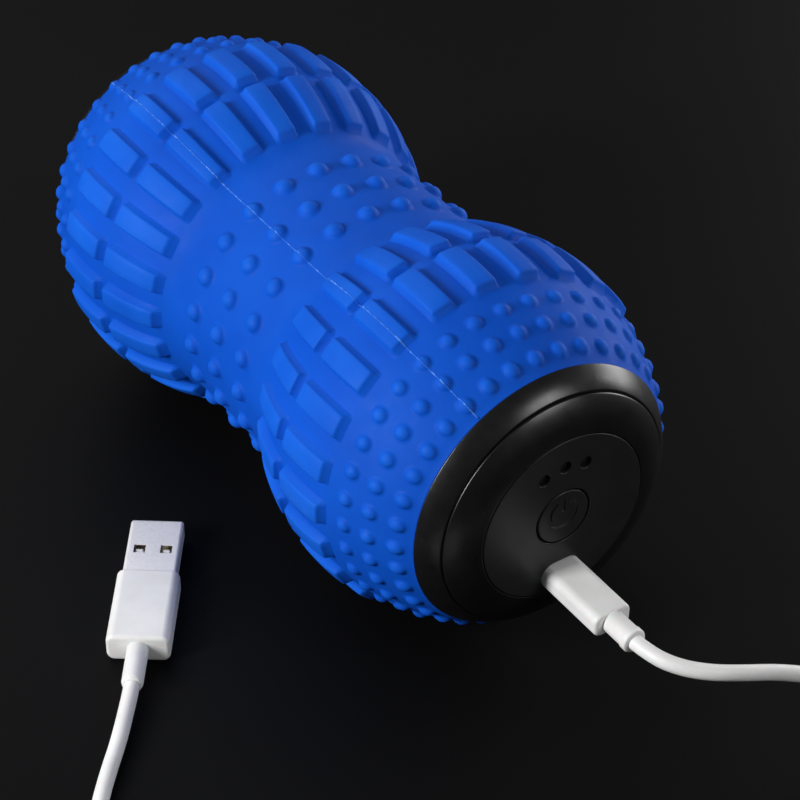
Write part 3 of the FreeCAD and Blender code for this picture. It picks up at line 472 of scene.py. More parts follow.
# %% Close the skin and mesh it
edge_station, edge_radius = edge_rows()
around = np.radians(EVEN)[None, :]
front_lip = round_axis(edge_station[:, None], edge_radius[:, None], around)
back_lip = round_axis(-edge_station[::-1, None], edge_radius[::-1, None], around)
wall_station = np.linspace(SKIN_EDGE - 2.5, 2.5 - SKIN_EDGE, 31)[:, None]
wall_x, wall_r = body_normal(wall_station)
inner_points = round_axis(
    wall_station - SKIN_WALL * wall_x, body_radius(wall_station) - SKIN_WALL * wall_r, around
)
skin_points = np.concatenate([outer_points, front_lip, inner_points, back_lip])
skin_faces = grid_faces(skin_points.shape[0], COLUMNS, wrap_rows=True)
skin = add_piece("silicone_skin", skin_points, skin_faces, merge=0.00001)

# Painted highlight: how far each outer point stands out, up to a nub's height. The silicone finish turns this
# into a paler blue on the blocks and nubs.
painted_highlight = np.zeros(skin_points.shape[:2])
painted_highlight[: raised.shape[0]] = np.minimum(raised / END_NUB[1], 1)
painted_highlight_layer = skin.data.attributes.new("painted_highlight", "FLOAT", "POINT")
painted_highlight_layer.data.foreach_set("value", painted_highlight.ravel())
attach(skin, "roller")
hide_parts("silicone_sleeve")

# %% [markdown]
# ## The mould's parting line
#
# The skin is cast between two half moulds. A thread of silicone stands where they met, at 30 degrees from
# the top and opposite, and climbs over every block and nub in its way. It is a small arched
# profile carried along the skin's own outline, so it never leaves the surface.

# %% Parting lines
LINE_HALF = 0.17
LINE_HEIGHT = 0.07


def outline_height(at):
    """Height over the body along the middle of a column, where blocks and nubs stand in line."""
    height = block_height(at, np.zeros(at.shape))
    for ring in (-1, 0, 1):
        height = np.maximum(height, cap_height(np.abs(at - ring * WAIST_PITCH), *WAIST_NUB))
    for ring in range(3):
        beside = np.abs(np.abs(at) - END_FIRST - ring * END_PITCH)
        height = np.maximum(height, cap_height(beside, *END_NUB))
    return height


def parting_line(name, degrees):
    """A strip along the skin: its section is (-h, -d), (-h/2, t), (h/2, t), (h, -d), with h the half width,
    t the height and d a little depth, so that it stands in the skin."""
    at = np.linspace(0.3 - SKIN_EDGE, SKIN_EDGE - 0.3, 640)
    height = outline_height(at)
    out_x, out_r = body_normal(at)
    rising = (np.abs(at) > BLOCKS[0][0] - 1) & (np.abs(at) < BLOCKS[1][1] + 1)
    out_x, out_r = np.where(rising, 0, out_x), np.where(rising, 1, out_r)
    sideways = np.array([-1, -0.5, 0.5, 1]) * LINE_HALF
    lift = np.array([-0.12, 1, 1, -0.12]) * LINE_HEIGHT
    total = height[:, None] + lift[None, :]
    radius = body_radius(at)[:, None] + total * out_r[:, None]
    angle = math.radians(degrees) + sideways[None, :] / radius
    points = round_axis(at[:, None] + total * out_x[:, None], radius, angle)
    faces = grid_faces(len(at), 4).tolist()
    last = 4 * (len(at) - 1)
    faces += [(0, 1, 2, 3), (last + 3, last + 2, last + 1, last)]
    line = add_piece(name, points, faces, merge=0.0001)
    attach(line, "roller")
    return line


parting_lines = [parting_line("parting_line_near", -30), parting_line("parting_line_far", 150)]

# %% [markdown]
# ## Turned and pressed plastic
#
# The caps are plain turned shapes, so each is a profile carried once round the axis. Moulded plastic never
# has a knife edge. Every corner of a profile is therefore rounded by a small curve between two points
# on either side of it, and it is this round that catches the light as a thin bright line.

# %% Profiles with soft corners
def soften(corners, radius, steps=5):
    """Rounds the corners of a closed outline. Near a corner P the line follows
    (1-t)^2 A + 2t(1-t) P + t^2 B, with A and B on the two sides, a radius away from P. A radius may be
    given for each corner."""
    corners = np.asarray(corners, dtype=float)
    back = np.roll(corners, 1, axis=0) - corners
    on = np.roll(corners, -1, axis=0) - corners
    back_size = np.linalg.norm(back, axis=1, keepdims=True)
    on_size = np.linalg.norm(on, axis=1, keepdims=True)
    reach = np.broadcast_to(np.asarray(radius, dtype=float), len(corners))[:, None]
    before = corners + back / back_size * np.minimum(reach, 0.45 * back_size)
    after = corners + on / on_size * np.minimum(reach, 0.45 * on_size)
    t = np.linspace(0, 1, steps)[None, :, None]
    curve = (1 - t) ** 2 * before[:, None] + 2 * t * (1 - t) * corners[:, None] + t**2 * after[:, None]
    return curve.reshape(-1, 2)


def bow(start, end, radius, count=24):
    """Points on an arc from start to end that swells to the left of that direction: its middle lies
    sqrt(radius^2 - half^2) to the right of the chord's."""
    start, end = np.array(start, dtype=float), np.array(end, dtype=float)
    chord = end - start
    half = np.linalg.norm(chord) / 2
    right = np.array([chord[1], -chord[0]]) / (2 * half)
    middle = (start + end) / 2 + right * math.sqrt(radius**2 - half**2)
    first = math.atan2(*(start - middle)[::-1])
    last = math.atan2(*(end - middle)[::-1])
    turn = np.linspace(first, last, count)
    return middle + radius * np.stack([np.cos(turn), np.sin(turn)], axis=1)


def even_light(piece):
    """Lets large faces decide how the light turns over an edge, so that flats stay flat."""
    finish = piece.modifiers.new("even_light", "WEIGHTED_NORMAL")
    finish.mode = "FACE_AREA"
    finish.keep_sharp = True


def turned(name, profile, side=1, segments=256):
    """A ring: a closed profile of (station, radius) points carried round the roller's axis. A side of -1
    makes the same ring at the rear."""
    turn = np.linspace(0, 2 * math.pi, segments, endpoint=False)[None, :]
    points = round_axis(side * profile[:, :1], profile[:, 1:], turn)
    piece = add_piece(name, points, grid_faces(len(profile), segments, wrap_rows=True))
    even_light(piece)
    return piece


# %% The two convex rings of each cap
BEZEL_START = 74.4
BEZEL_EDGE = float(body_radius(SKIN_EDGE))
BEZEL_NOSE = 78.75
BEZEL_RIM = 28.45
RING_START = 79.25
RING_RIM = 27.95
RING_END = 82.4
RING_MOUTH = 20.4

bezel_face = bow((BEZEL_START, BEZEL_EDGE), (BEZEL_NOSE, BEZEL_RIM), 12.0)
bezel_back = np.array([(BEZEL_NOSE, 26.25), (76.6, 26.6), (67.1, 26.6), (67.1, 28.8), (BEZEL_START, 28.8)])
bezel_outline = np.concatenate([bezel_face, bezel_back])
bezel_radii = np.concatenate([[0.25], np.full(len(bezel_face) - 2, 0.05), [0.3], np.full(5, 0.25)])
ring_face = bow((RING_START, RING_RIM), (RING_END, RING_MOUTH), 17.0)
ring_back = np.array([(80.2, RING_MOUTH), (80.2, 18.8), (78.85, 18.8), (78.85, RING_RIM)])
ring_outline = np.concatenate([ring_face, ring_back])
ring_radii = np.concatenate([[0.3], np.full(len(ring_face) - 2, 0.05), [0.22], np.full(4, 0.15)])
bezel_profile = soften(bezel_outline, bezel_radii, steps=4)
ring_profile = soften(ring_outline, ring_radii, steps=4)

caps = []
for end_name, side_sign in (("front", 1), ("rear", -1)):
    bezel = turned(f"{end_name}_bezel", bezel_profile, side_sign)
    ring = turned(f"{end_name}_ring", ring_profile, side_sign)
    for piece, node in ((bezel, f"{end_name}_bezel_ring"), (ring, f"{end_name}_inner_ring")):
        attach(piece, "roller")
        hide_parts(node)
        caps.append(piece)

# %% [markdown]
# ## Flat faces with holes
#
# The control panel is a disc with holes for the button, the lights and the charging port, and the button is
# a disc with an engraved sign. Both are the same kind of shape: a flat face bounded by loops, with a
# rounded edge and a wall going down from each loop. The walls are strips of a profile carried along the
# loop, and the flat face between the loops is filled by Blender's triangulation of an outline.

# %% Loops
def circle_loop(radius, y=0.0, z=0.0, count=96):
    """Points (y, z) of a circle, going round to the left."""
    turn = np.linspace(0, 2 * math.pi, count, endpoint=False)
    return np.stack([y + radius * np.cos(turn), z + radius * np.sin(turn)], axis=1)


def slot_loop(width, height, z=0.0, count=48):
    """A slot with round ends: half circles of half the height, moved apart."""
    turn = np.linspace(0, 2 * math.pi, count, endpoint=False) + math.pi / count
    straight = (width - height) / 2
    y = height / 2 * np.cos(turn) + straight * np.sign(np.cos(turn))
    return np.stack([y, z + height / 2 * np.sin(turn)], axis=1)


def power_arc(radius, line, gap, middle, count=40):
    """The open ring of the power sign: an outer arc one way and an inner arc back, with round ends."""
    start, end = math.radians(90 + gap), math.radians(450 - gap)
    turn = np.linspace(start, end, count)
    outer_arc = (radius + line / 2) * np.stack([np.cos(turn), np.sin(turn)], axis=1)
    inner_arc = (radius - line / 2) * np.stack([np.cos(turn), np.sin(turn)], axis=1)[::-1]
    tip = np.linspace(0, math.pi, 7)[1:-1]

    def cap(at, start_turn):
        centre = radius * np.array([math.cos(at), math.sin(at)])
        return centre + line / 2 * np.stack([np.cos(start_turn + tip), np.sin(start_turn + tip)], axis=1)

    loop = np.concatenate([outer_arc, cap(end, end), inner_arc, cap(start, start + math.pi)])
    return loop + np.array([0, middle])


def loop_outward(loop):
    """The unit direction out of a loop that goes round to the left, at each of its points: the mean of
    the two neighbouring sides turned a quarter to the right."""
    step = np.roll(loop, -1, axis=0) - np.roll(loop, 1, axis=0)
    step = step / np.linalg.norm(step, axis=1, keepdims=True)
    return np.stack([step[:, 1], -step[:, 0]], axis=1)


# %% Fill, walls and rounded edges
def filled(loops):
    """Triangles of the flat region inside the first loop and outside the others."""
    points = np.concatenate(loops)
    starts = np.cumsum([0] + [len(loop) for loop in loops])
    rings = [np.arange(a, b) for a, b in zip(starts[:-1], starts[1:])]
    edges = np.concatenate([np.stack([r, np.roll(r, -1)], axis=1) for r in rings])
    made = delaunay_2d_cdt(
        [Vector(p) for p in points.tolist()], edges.tolist(), [rings[0].tolist()], 1, 1e-7
    )
    corners = np.array([tuple(p) for p in made[0]])
    triangles = np.array(made[2])
    middles = corners[triangles].mean(axis=1)
    keep = np.ones(len(triangles), dtype=bool)
    for hole in loops[1:]:
        keep &= ~inside_loop(middles, hole)
    return corners, triangles[keep]


def inside_loop(points, loop):
    """True where a ray to the right of a point crosses the loop an odd number of times."""
    a, b = loop[None, :, :], np.roll(loop, -1, axis=0)[None, :, :]
    y, z = points[:, None, 0], points[:, None, 1]
    spans = (a[..., 1] > z) != (b[..., 1] > z)
    rise = np.where(spans, b[..., 1] - a[..., 1], 1)
    crossing = a[..., 0] + (z - a[..., 1]) * (b[..., 0] - a[..., 0]) / rise
    return (spans & (crossing > y)).sum(axis=1) % 2 == 1


def plate(name, front, back, outer, holes=(), pits=(), edge=0.2, hole_edge=0.12):
    """A flat plate between two stations. holes go through it, and pits are (loop, depth). A rounded edge of
    size e starts e inside the rim and reaches it e below the face: e(1 - sin a) in and e(1 - cos a) down."""
    points, faces = [], []
    total = 0

    def add(new_points, new_faces):
        nonlocal total
        points.append(new_points)
        faces.extend((np.asarray(new_faces) + total).tolist())
        total += len(new_points)

    def strip(loop, sign, size, bottom):
        turn = np.linspace(0, math.pi / 2, 4)
        into = sign * size * (1 - np.sin(turn))
        down = front - size * (1 - np.cos(turn))
        into, down = np.append(into, 0), np.append(down, bottom)
        out = loop_outward(loop)
        rows = loop[None] - out[None] * into[:, None, None]
        station = np.broadcast_to(down[:, None, None], rows.shape[:2] + (1,))
        grid = np.concatenate([station, rows], axis=2).reshape(-1, 3)
        add(grid, grid_faces(len(into), len(loop)))
        return rows[0], rows[-1]

    top, bottom = [], []
    rim_top, rim_bottom = strip(outer, 1, edge, back)
    top.append(rim_top)
    bottom.append(rim_bottom)
    for loop in holes:
        hole_top, hole_bottom = strip(loop, -1, hole_edge, back)
        top.append(hole_top)
        bottom.append(hole_bottom)
    for loop, depth in pits:
        pit_top, pit_bottom = strip(loop, -1, min(hole_edge, depth * 0.45), front - depth)
        top.append(pit_top)
        corners, triangles = filled([pit_bottom])
        add(np.column_stack([np.full(len(corners), front - depth), corners]), triangles)
    for loops, level in ((top, front), (bottom, back)):
        corners, triangles = filled(loops)
        add(np.column_stack([np.full(len(corners), level), corners]), triangles)
    placed = np.concatenate(points) + CENTRE
    return add_piece(name, placed, faces, flat=[("x", front), ("x", back)])


# %% Control panel, rear panel and button
FACE = 82.5
PANEL_BACK = 80.3
PANEL_RADIUS = 20.2
BUTTON_RADIUS = 6.5
BUTTON_GAP = 0.35
LIGHT_CIRCLE = 13.2
LIGHT_HOLE = 1.4
LIGHT_STEP = 23.5
PORT_DROP = 15.6
PORT_WIDTH = 10.2
PORT_HEIGHT = 6.6

light_turns = [math.radians(90 + step) for step in (-LIGHT_STEP, 0, LIGHT_STEP)]
light_loops = [
    circle_loop(LIGHT_HOLE, LIGHT_CIRCLE * math.cos(a), LIGHT_CIRCLE * math.sin(a), 32)
    for a in light_turns
]
button_hole = circle_loop(BUTTON_RADIUS + BUTTON_GAP)
panel_holes = [button_hole, slot_loop(PORT_WIDTH, PORT_HEIGHT, -PORT_DROP), *light_loops]
panel = plate(
    "front_panel", FACE, PANEL_BACK, circle_loop(PANEL_RADIUS, count=192), panel_holes,
    edge=0.25, hole_edge=0.25,
)
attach(panel, "roller")
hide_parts("control_panel")

rear = plate("back_panel", FACE, PANEL_BACK, circle_loop(PANEL_RADIUS, count=192))
rear_turn = Matrix.Rotation(math.pi, 4, "Z")
rear.data.transform(rear_turn)
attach(rear, "roller")
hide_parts("rear_panel")

# %% The button with its power sign
MARK_MIDDLE = 0.9
MARK_RADIUS = 3.4
MARK_LINE = 0.7
MARK_DEPTH = 0.35
MARK_GAP = 32
BAR_LENGTH = 3.1
BAR_RISE = 3.0
mark_arc = power_arc(MARK_RADIUS, MARK_LINE, MARK_GAP, MARK_MIDDLE)
bar_loop = slot_loop(BAR_LENGTH, MARK_LINE)[::-1, ::-1] + np.array([0, BAR_RISE])
button = plate(
    "button_cap", FACE, PANEL_BACK - 1.0, circle_loop(BUTTON_RADIUS),
    pits=[(mark_arc, MARK_DEPTH), (bar_loop, MARK_DEPTH)], edge=0.4, hole_edge=0.2,
)
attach(button, "button")
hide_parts("power_button")

# %% [markdown]
# ## Plugs
#
# Each plug is a soft white moulding round the cord's end. A moulding like this is a section carried along
# the plug, drawn in a little at both ends, so one loft makes them all. The flat supply plug lies on the
# table and is turned there, so its parts are worked out along their own axis and turned as arrays, and the
# objects themselves stay unturned at the origin.

# %% Lofts
def box_section(width, height, corner, per_corner=10):
    """A rectangle with round corners, as (sideways, up) points: a circle's quarter at each corner."""
    turn = np.linspace(0, math.pi / 2, per_corner)[None, :] + np.arange(4)[:, None] * math.pi / 2
    middle_u = np.array([1, -1, -1, 1])[:, None] * (width / 2 - corner)
    middle_v = np.array([1, 1, -1, -1])[:, None] * (height / 2 - corner)
    points = np.stack([middle_u + corner * np.cos(turn), middle_v + corner * np.sin(turn)], axis=-1)
    return points.reshape(-1, 2)


def loft(name, section, stations, place):
    """Carries a section along an axis. stations are (distance, inset): the section is moved in by the inset
    along its own outward direction, and each end is closed on its middle."""
    stations = np.asarray(stations, dtype=float)
    out = loop_outward(section)
    rows = section[None] - out[None] * stations[:, 1][:, None, None]
    middle = section.mean(axis=0)
    rows = np.concatenate([middle + 0 * rows[:1], rows, middle + 0 * rows[:1]])
    along = np.concatenate([stations[:1, 0], stations[:, 0], stations[-1:, 0]])
    along = np.broadcast_to(along[:, None, None], rows.shape[:2] + (1,))
    points = place(np.concatenate([along, rows], axis=2).reshape(-1, 3))
    piece = add_piece(name, points, grid_faces(len(rows), len(section)))
    even_light(piece)
    return piece


def rounded_run(start, end, first, last, steps=6):
    """Stations for a loft with quarter-round ends: at an angle a the inset is r(1 - sin a) and the distance
    from the end is r(1 - cos a)."""
    turn = np.linspace(0, math.pi / 2, steps)
    head = np.stack([start + first * (1 - np.cos(turn)), first * (1 - np.sin(turn))], axis=1)
    tail = np.stack([end - last * (1 - np.cos(turn)), last * (1 - np.sin(turn))], axis=1)[::-1]
    return np.concatenate([head, tail])


def at_port(points):
    """The charging plug's axis runs along the roller's, below its middle."""
    return points + np.array([0, 0, AXIS - PORT_DROP])


SUPPLY_AT = np.array([39.7, -80.8, 3.5])
SUPPLY_TURN = math.radians(143.4)


def at_supply(points):
    """Turns points about the vertical and moves them to the end of the supply plug's boot."""
    c, s = math.cos(SUPPLY_TURN), math.sin(SUPPLY_TURN)
    turn = np.array([[c, -s, 0], [s, c, 0], [0, 0, 1]])
    return points @ turn.T + SUPPLY_AT


# %% The charging plug
PORT_BODY_WIDTH = 9.2
PORT_BODY_HEIGHT = 5.6
PORT_BODY_CORNER = 1.95
PORT_BODY_START = 80.9
PORT_BODY_END = 100.5
PORT_BOOT_RADIUS = 2.6
port_body = loft(
    "charge_plug_body", box_section(PORT_BODY_WIDTH, PORT_BODY_HEIGHT, PORT_BODY_CORNER, 14),
    rounded_run(PORT_BODY_START, PORT_BODY_END, 0.35, 0.7), at_port,
)
boot_stations = [(100.3, 0), (106.0, 0), (106.2, -0.2), (107.5, -0.2), (107.8, -0.05), (107.9, 0.3)]
port_boot = loft("charge_plug_boot", circle_loop(PORT_BOOT_RADIUS, count=40), boot_stations, at_port)
for piece, node in ((port_body, "port_plug_body"), (port_boot, "port_plug_boot")):
    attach(piece, "cable")
    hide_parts(node)

# %% The supply plug's moulding
BOOT_LENGTH = 11.0
BODY_END = 32.6
SHELL_END = 50.4
BODY_WIDTH = 14
BODY_HEIGHT = 7
BODY_CORNER = 1.9
SUPPLY_BOOT_RADIUS = 2.4
supply_body = loft(
    "supply_body", box_section(BODY_WIDTH, BODY_HEIGHT, BODY_CORNER, 12),
    rounded_run(BOOT_LENGTH, BODY_END, 0.9, 0.35), at_supply,
)
supply_stations = [(0, 0.5), (0.1, 0.3), (0.9, 0.02), (1.2, 0), (BOOT_LENGTH + 0.3, 0)]
supply_boot = loft("supply_boot", circle_loop(SUPPLY_BOOT_RADIUS, count=40), supply_stations, at_supply)
for piece, node in ((supply_body, "supply_plug_body"), (supply_boot, "supply_plug_boot")):
    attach(piece, "cable")
    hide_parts(node)

# %% [markdown]
# ## The supply plug's metal shell
#
# The shell is one strip of plated steel, 0.3 mm thick, folded round into a flat tube. Two square windows
# are punched in its upper face. A tube-shaped grid gets lines along the windows' sides, the
# faces inside them are left out, and a Solidify modifier then gives the sheet its thickness and closes the
# windows' walls at the same time.

# %% Shell
SHELL_WALL = 0.3
SHELL_WIDTH = 12.0
SHELL_HEIGHT = 4.5
SHELL_CORNER = 0.55
WINDOW_SIZE = 2.6
WINDOW_MIDDLE = SHELL_END - 9.5
WINDOW_SIDE = 3.0


def shell_grid():
    """The sheet's middle surface: stations along the plug, and a round-cornered section with extra points
    at the windows' sides. The last rows are drawn in as the punched nose is."""
    half_w, half_h = (SHELL_WIDTH - SHELL_WALL) / 2, (SHELL_HEIGHT - SHELL_WALL) / 2
    corner = SHELL_CORNER
    low, high = WINDOW_SIDE - WINDOW_SIZE / 2, WINDOW_SIDE + WINDOW_SIZE / 2
    quarter = np.linspace(0, math.pi / 2, 7)
    arc = np.stack([half_w - corner + corner * np.sin(quarter), half_h - corner + corner * np.cos(quarter)], 1)
    flat = np.array([(y, half_h) for y in (0.0, 0.6, low, low + 0.25, high - 0.25, high)])
    right = np.concatenate([flat, arc])
    left = right[1:][::-1] * np.array([-1, 1])
    top_run = np.concatenate([left, right])
    bottom_run = top_run[::-1] * np.array([1, -1])
    section = np.concatenate([top_run, bottom_run])
    along = np.array([BODY_END - 1.0, BODY_END + 4, WINDOW_MIDDLE - 1.3, WINDOW_MIDDLE - 1.05,
                      WINDOW_MIDDLE + 1.05, WINDOW_MIDDLE + 1.3, SHELL_END - 3, SHELL_END - 0.7,
                      SHELL_END - 0.3, SHELL_END - 0.08])
    inset = np.array([0, 0, 0, 0, 0, 0, 0, 0, 0.06, 0.16])
    return section, along, inset


section, along, inset = shell_grid()
out = loop_outward(section[::-1])[::-1]
rows = section[None] - out[None] * inset[:, None, None]
shell_points = np.concatenate([np.broadcast_to(along[:, None, None], rows.shape[:2] + (1,)), rows], axis=2)
shell_points = shell_points.reshape(-1, 3)
shell_faces = grid_faces(len(along), len(section))
middles = shell_points[shell_faces].mean(axis=1)
in_window = (
    (np.abs(middles[:, 0] - WINDOW_MIDDLE) < WINDOW_SIZE / 2)
    & (np.abs(np.abs(middles[:, 1]) - WINDOW_SIDE) < WINDOW_SIZE / 2)
    & (middles[:, 2] > 0)
)
shell = add_piece("supply_shell", at_supply(shell_points), shell_faces[~in_window])
walls = shell.modifiers.new("sheet", "SOLIDIFY")
walls.thickness = SHELL_WALL * MM
walls.offset = 0
walls.use_even_offset = True
folds = shell.modifiers.new("edges", "BEVEL")
folds.width = 0.06 * MM
folds.segments = 2
folds.limit_method = "ANGLE"
folds.angle_limit = math.radians(50)
even_light(shell)
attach(shell, "cable")
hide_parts("supply_plug_shell")
print("window faces left out:", int(in_window.sum()))

# %% Springs behind the windows
def window_spring(name, sideways):
    """A small tongue of steel that rises towards the window: a strip whose height is a half wave."""
    u = np.linspace(-1, 1, 13)[:, None]
    v = np.linspace(-1, 1, 5)[None, :]
    x = WINDOW_MIDDLE + 0.95 * u + 0 * v
    y = sideways + (0.85 - 0.25 * u) * v
    z = 0.95 + 0.7 * np.cos(math.pi / 2 * u) + 0 * v
    sheet_points = np.stack([x, y, z], axis=-1).reshape(-1, 3)
    spring = add_piece(name, at_supply(sheet_points), grid_faces(13, 5, wrap_columns=False))
    thick = spring.modifiers.new("sheet", "SOLIDIFY")
    thick.thickness = 0.2 * MM
    thick.offset = 0
    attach(spring, "cable")
    return spring


springs = [
    window_spring("window_spring_left", -WINDOW_SIDE),
    window_spring("window_spring_right", WINDOW_SIDE),
]

# %% [markdown]
# ## Finishes
#
# Each finish is one short function. All of them share the same start: a shader, the object's own
# coordinates and a noise or two at the scale of the real grain. What stays the same all over a surface is
# set on the shader itself, and only what changes from place to place goes through nodes.

# %% Node helpers
def finish_start(name, roughness, **plain):
    """A material with its shader. plain gives sockets by name, with underscores for spaces."""
    material = bpy.data.materials.new(name)
    material.use_nodes = True
    tree = material.node_tree
    shader = tree.nodes["Principled BSDF"]
    shader.inputs["Roughness"].default_value = roughness
    for socket, value in plain.items():
        shader.inputs[socket.replace("_", " ")].default_value = value
    return material, tree, shader


def grain(tree, size, detail=3.0):
    """Noise on object coordinates whose spots are about size metres across."""
    place = tree.nodes.new("ShaderNodeTexCoord")
    noise = tree.nodes.new("ShaderNodeTexNoise")
    noise.inputs["Scale"].default_value = 1 / size
    noise.inputs["Detail"].default_value = detail
    tree.links.new(place.outputs["Object"], noise.inputs["Vector"])
    return noise.outputs["Fac"]


def between(tree, factor, low, high, start=0.3, end=0.7):
    """A colour ramp from low to high; colours are linear red, green and blue."""
    ramp = tree.nodes.new("ShaderNodeValToRGB")
    ramp.color_ramp.elements[0].position = start
    ramp.color_ramp.elements[0].color = (*low, 1)
    ramp.color_ramp.elements[1].position = end
    ramp.color_ramp.elements[1].color = (*high, 1)
    tree.links.new(factor, ramp.inputs["Fac"])
    return ramp.outputs["Color"]


def spread(tree, factor, low, high):
    """Maps a factor from 0.3-0.7 to a number between low and high."""
    remap = tree.nodes.new("ShaderNodeMapRange")
    remap.inputs["From Min"].default_value = 0.3
    remap.inputs["From Max"].default_value = 0.7
    remap.inputs["To Min"].default_value = low
    remap.inputs["To Max"].default_value = high
    tree.links.new(factor, remap.inputs["Value"])
    return remap.outputs["Result"]


def relief(tree, shader, height, distance, strength=0.5, onto=None):
    """Bumps the shader's normal by a height; distance is the depth in metres."""
    bump = tree.nodes.new("ShaderNodeBump")
    bump.inputs["Distance"].default_value = distance
    bump.inputs["Strength"].default_value = strength
    tree.links.new(height, bump.inputs["Height"])
    if onto:
        tree.links.new(onto, bump.inputs["Normal"])
    tree.links.new(bump.outputs["Normal"], shader.inputs["Normal"])
    return bump.outputs["Normal"]


def mixed(tree, factor, first, second):
    """Mixes two colours."""
    mix = tree.nodes.new("ShaderNodeMix")
    mix.data_type = "RGBA"
    tree.links.new(factor, mix.inputs["Factor"])
    tree.links.new(first, mix.inputs["A"])
    tree.links.new(second, mix.inputs["B"])
    return mix.outputs["Result"]


# %% [markdown]
# ### Silicone
#
# Cast silicone is dull and hardly mirrors anything. What stands proud gets a painted highlight: it is
# coloured a paler blue, so that the low skin and the hollows read as painted shade. The skin's mesh carries
# how far each point stands out, which drives this painted highlight. A very fine grain breaks up the gloss,
# and a slow one keeps large areas from looking printed.

# %% Silicone
# The palest blue below is a painted highlight for what stands proud. The two darker blues are the skin's own
# tone in random clouds.
SILICONE_DEEP = (0.0025, 0.068, 0.47)
SILICONE_MID = (0.0035, 0.082, 0.53)
SILICONE_PAINTED_HIGHLIGHT = (0.0070, 0.110, 0.62)


def silicone():
    material, tree, shader = finish_start("blue_silicone", 0.6, Specular_IOR_Level=0.08)
    cloud = grain(tree, 0.018, detail=4)
    body = between(tree, cloud, SILICONE_DEEP, SILICONE_MID)
    # Painted highlight: points that stand out are mixed towards the palest blue, so the low skin and hollows
    # read as painted shade.
    painted_highlight_read = tree.nodes.new("ShaderNodeAttribute")
    painted_highlight_read.attribute_name = "painted_highlight"
    painted_highlight_colour = between(tree, cloud, SILICONE_MID, SILICONE_PAINTED_HIGHLIGHT)
    tree.links.new(mixed(tree, painted_highlight_read.outputs["Fac"], body, painted_highlight_colour), shader.inputs["Base Color"])
    tree.links.new(spread(tree, grain(tree, 0.004), 0.54, 0.66), shader.inputs["Roughness"])
    soft = relief(tree, shader, grain(tree, 0.0022, detail=2), 0.00006, 0.35)
    relief(tree, shader, grain(tree, 0.00035, detail=2), 0.000012, 0.4, onto=soft)
    return material


def parting_painted_highlight():
    """The thread at the mould's joint is coloured much paler than the skin, in patches: a painted highlight
    along the thin ridge.
    """
    material, tree, shader = finish_start("parting_painted_highlight", 0.5, Specular_IOR_Level=0.3)
    patch_grain = grain(tree, 0.0012, detail=4)
    # Painted highlight: pale patches along the ridge where light would catch it.
    painted_highlight_tone = between(tree, patch_grain, (0.010, 0.12, 0.62), (0.14, 0.34, 0.90), 0.50, 0.72)
    tree.links.new(painted_highlight_tone, shader.inputs["Base Color"])
    relief(tree, shader, patch_grain, 0.00008, 0.5)
    return material


skin.data.materials.append(silicone())
thread = parting_painted_highlight()
for line in parting_lines:
    line.data.materials.append(thread)

# %% [markdown]
# ### Black plastics
#
# The rings are smooth moulded plastic with a satin gloss, so their noise is slow and shallow. The panel and
# the button come from a finely sparked mould: duller, with a grain of about a third of a millimetre.

# %% Black plastics
def black_plastic(name, low, high, rough_low, rough_high, grain_size, depth, shine=0.5):
    """Near-black plastic: slow colour clouds, uneven gloss and a grain of a given size and depth."""
    material, tree, shader = finish_start(name, (rough_low + rough_high) / 2, Specular_IOR_Level=shine)
    tree.links.new(between(tree, grain(tree, 0.012), low, high), shader.inputs["Base Color"])
    wear = grain(tree, 0.003, detail=5)
    tree.links.new(spread(tree, wear, rough_low, rough_high), shader.inputs["Roughness"])
    relief(tree, shader, grain(tree, grain_size, detail=2), depth, 0.4)
    return material


trim = black_plastic(
    "satin_black", (0.0045, 0.0045, 0.005), (0.007, 0.007, 0.0077), 0.27, 0.33, 0.0009, 0.00001
)
panel_finish = black_plastic(
    "sparked_black", (0.012, 0.012, 0.0128), (0.017, 0.017, 0.018), 0.36, 0.46, 0.00032, 0.000018, shine=0.3
)
for piece in caps:
    piece.data.materials.append(trim)
for piece in (panel, rear, button):
    piece.data.materials.append(panel_finish)

# %% [markdown]
# ### White cable
#
# The mouldings and the jacket are soft white plastic. Handling leaves them faintly warm and uneven, and
# light goes a little way in, which keeps the shaded side from looking grey.

# %% White plastics
def white_plastic(name, low, high, rough, depth):
    """Soft white plastic with a faint warmth, a shallow ripple and light that goes a little way in."""
    material, tree, shader = finish_start(
        name, rough, Specular_IOR_Level=0.45, Subsurface_Weight=0.12, Subsurface_Scale=0.0015
    )
    tree.links.new(between(tree, grain(tree, 0.009, detail=4), low, high), shader.inputs["Base Color"])
    tree.links.new(spread(tree, grain(tree, 0.003), rough - 0.05, rough + 0.07), shader.inputs["Roughness"])
    relief(tree, shader, grain(tree, 0.0016, detail=3), depth, 0.35)
    return material


moulding = white_plastic("white_moulding", (0.70, 0.70, 0.69), (0.80, 0.80, 0.795), 0.38, 0.00002)
jacket = white_plastic("white_jacket", (0.72, 0.72, 0.71), (0.82, 0.82, 0.815), 0.45, 0.00004)
for piece in (port_body, port_boot, supply_body, supply_boot):
    piece.data.materials.append(moulding)
cord.data.materials.append(jacket)

# %% [markdown]
# ### Metals and the parts inside
#
# Metals get a fine uneven grain, and the plated shell of the supply plug is dull and scatters light. The
# remaining parts keep their measured shape and only get a finish: battery wrap, board, motor can, gold
# contacts, iron weights, steel screws.

# %% Metals and other finishes
def metal(name, low, high, rough_low, rough_high, metallic=1.0):
    """Metal with a fine uneven grain. A dull plated coat scatters light, so it is less than all metallic."""
    material, tree, shader = finish_start(name, rough_low, Metallic=metallic)
    streaks = grain(tree, 0.0007, detail=4)
    tree.links.new(between(tree, streaks, low, high), shader.inputs["Base Color"])
    tree.links.new(spread(tree, streaks, rough_low, rough_high), shader.inputs["Roughness"])
    relief(tree, shader, streaks, 0.000002, 0.2)
    return material


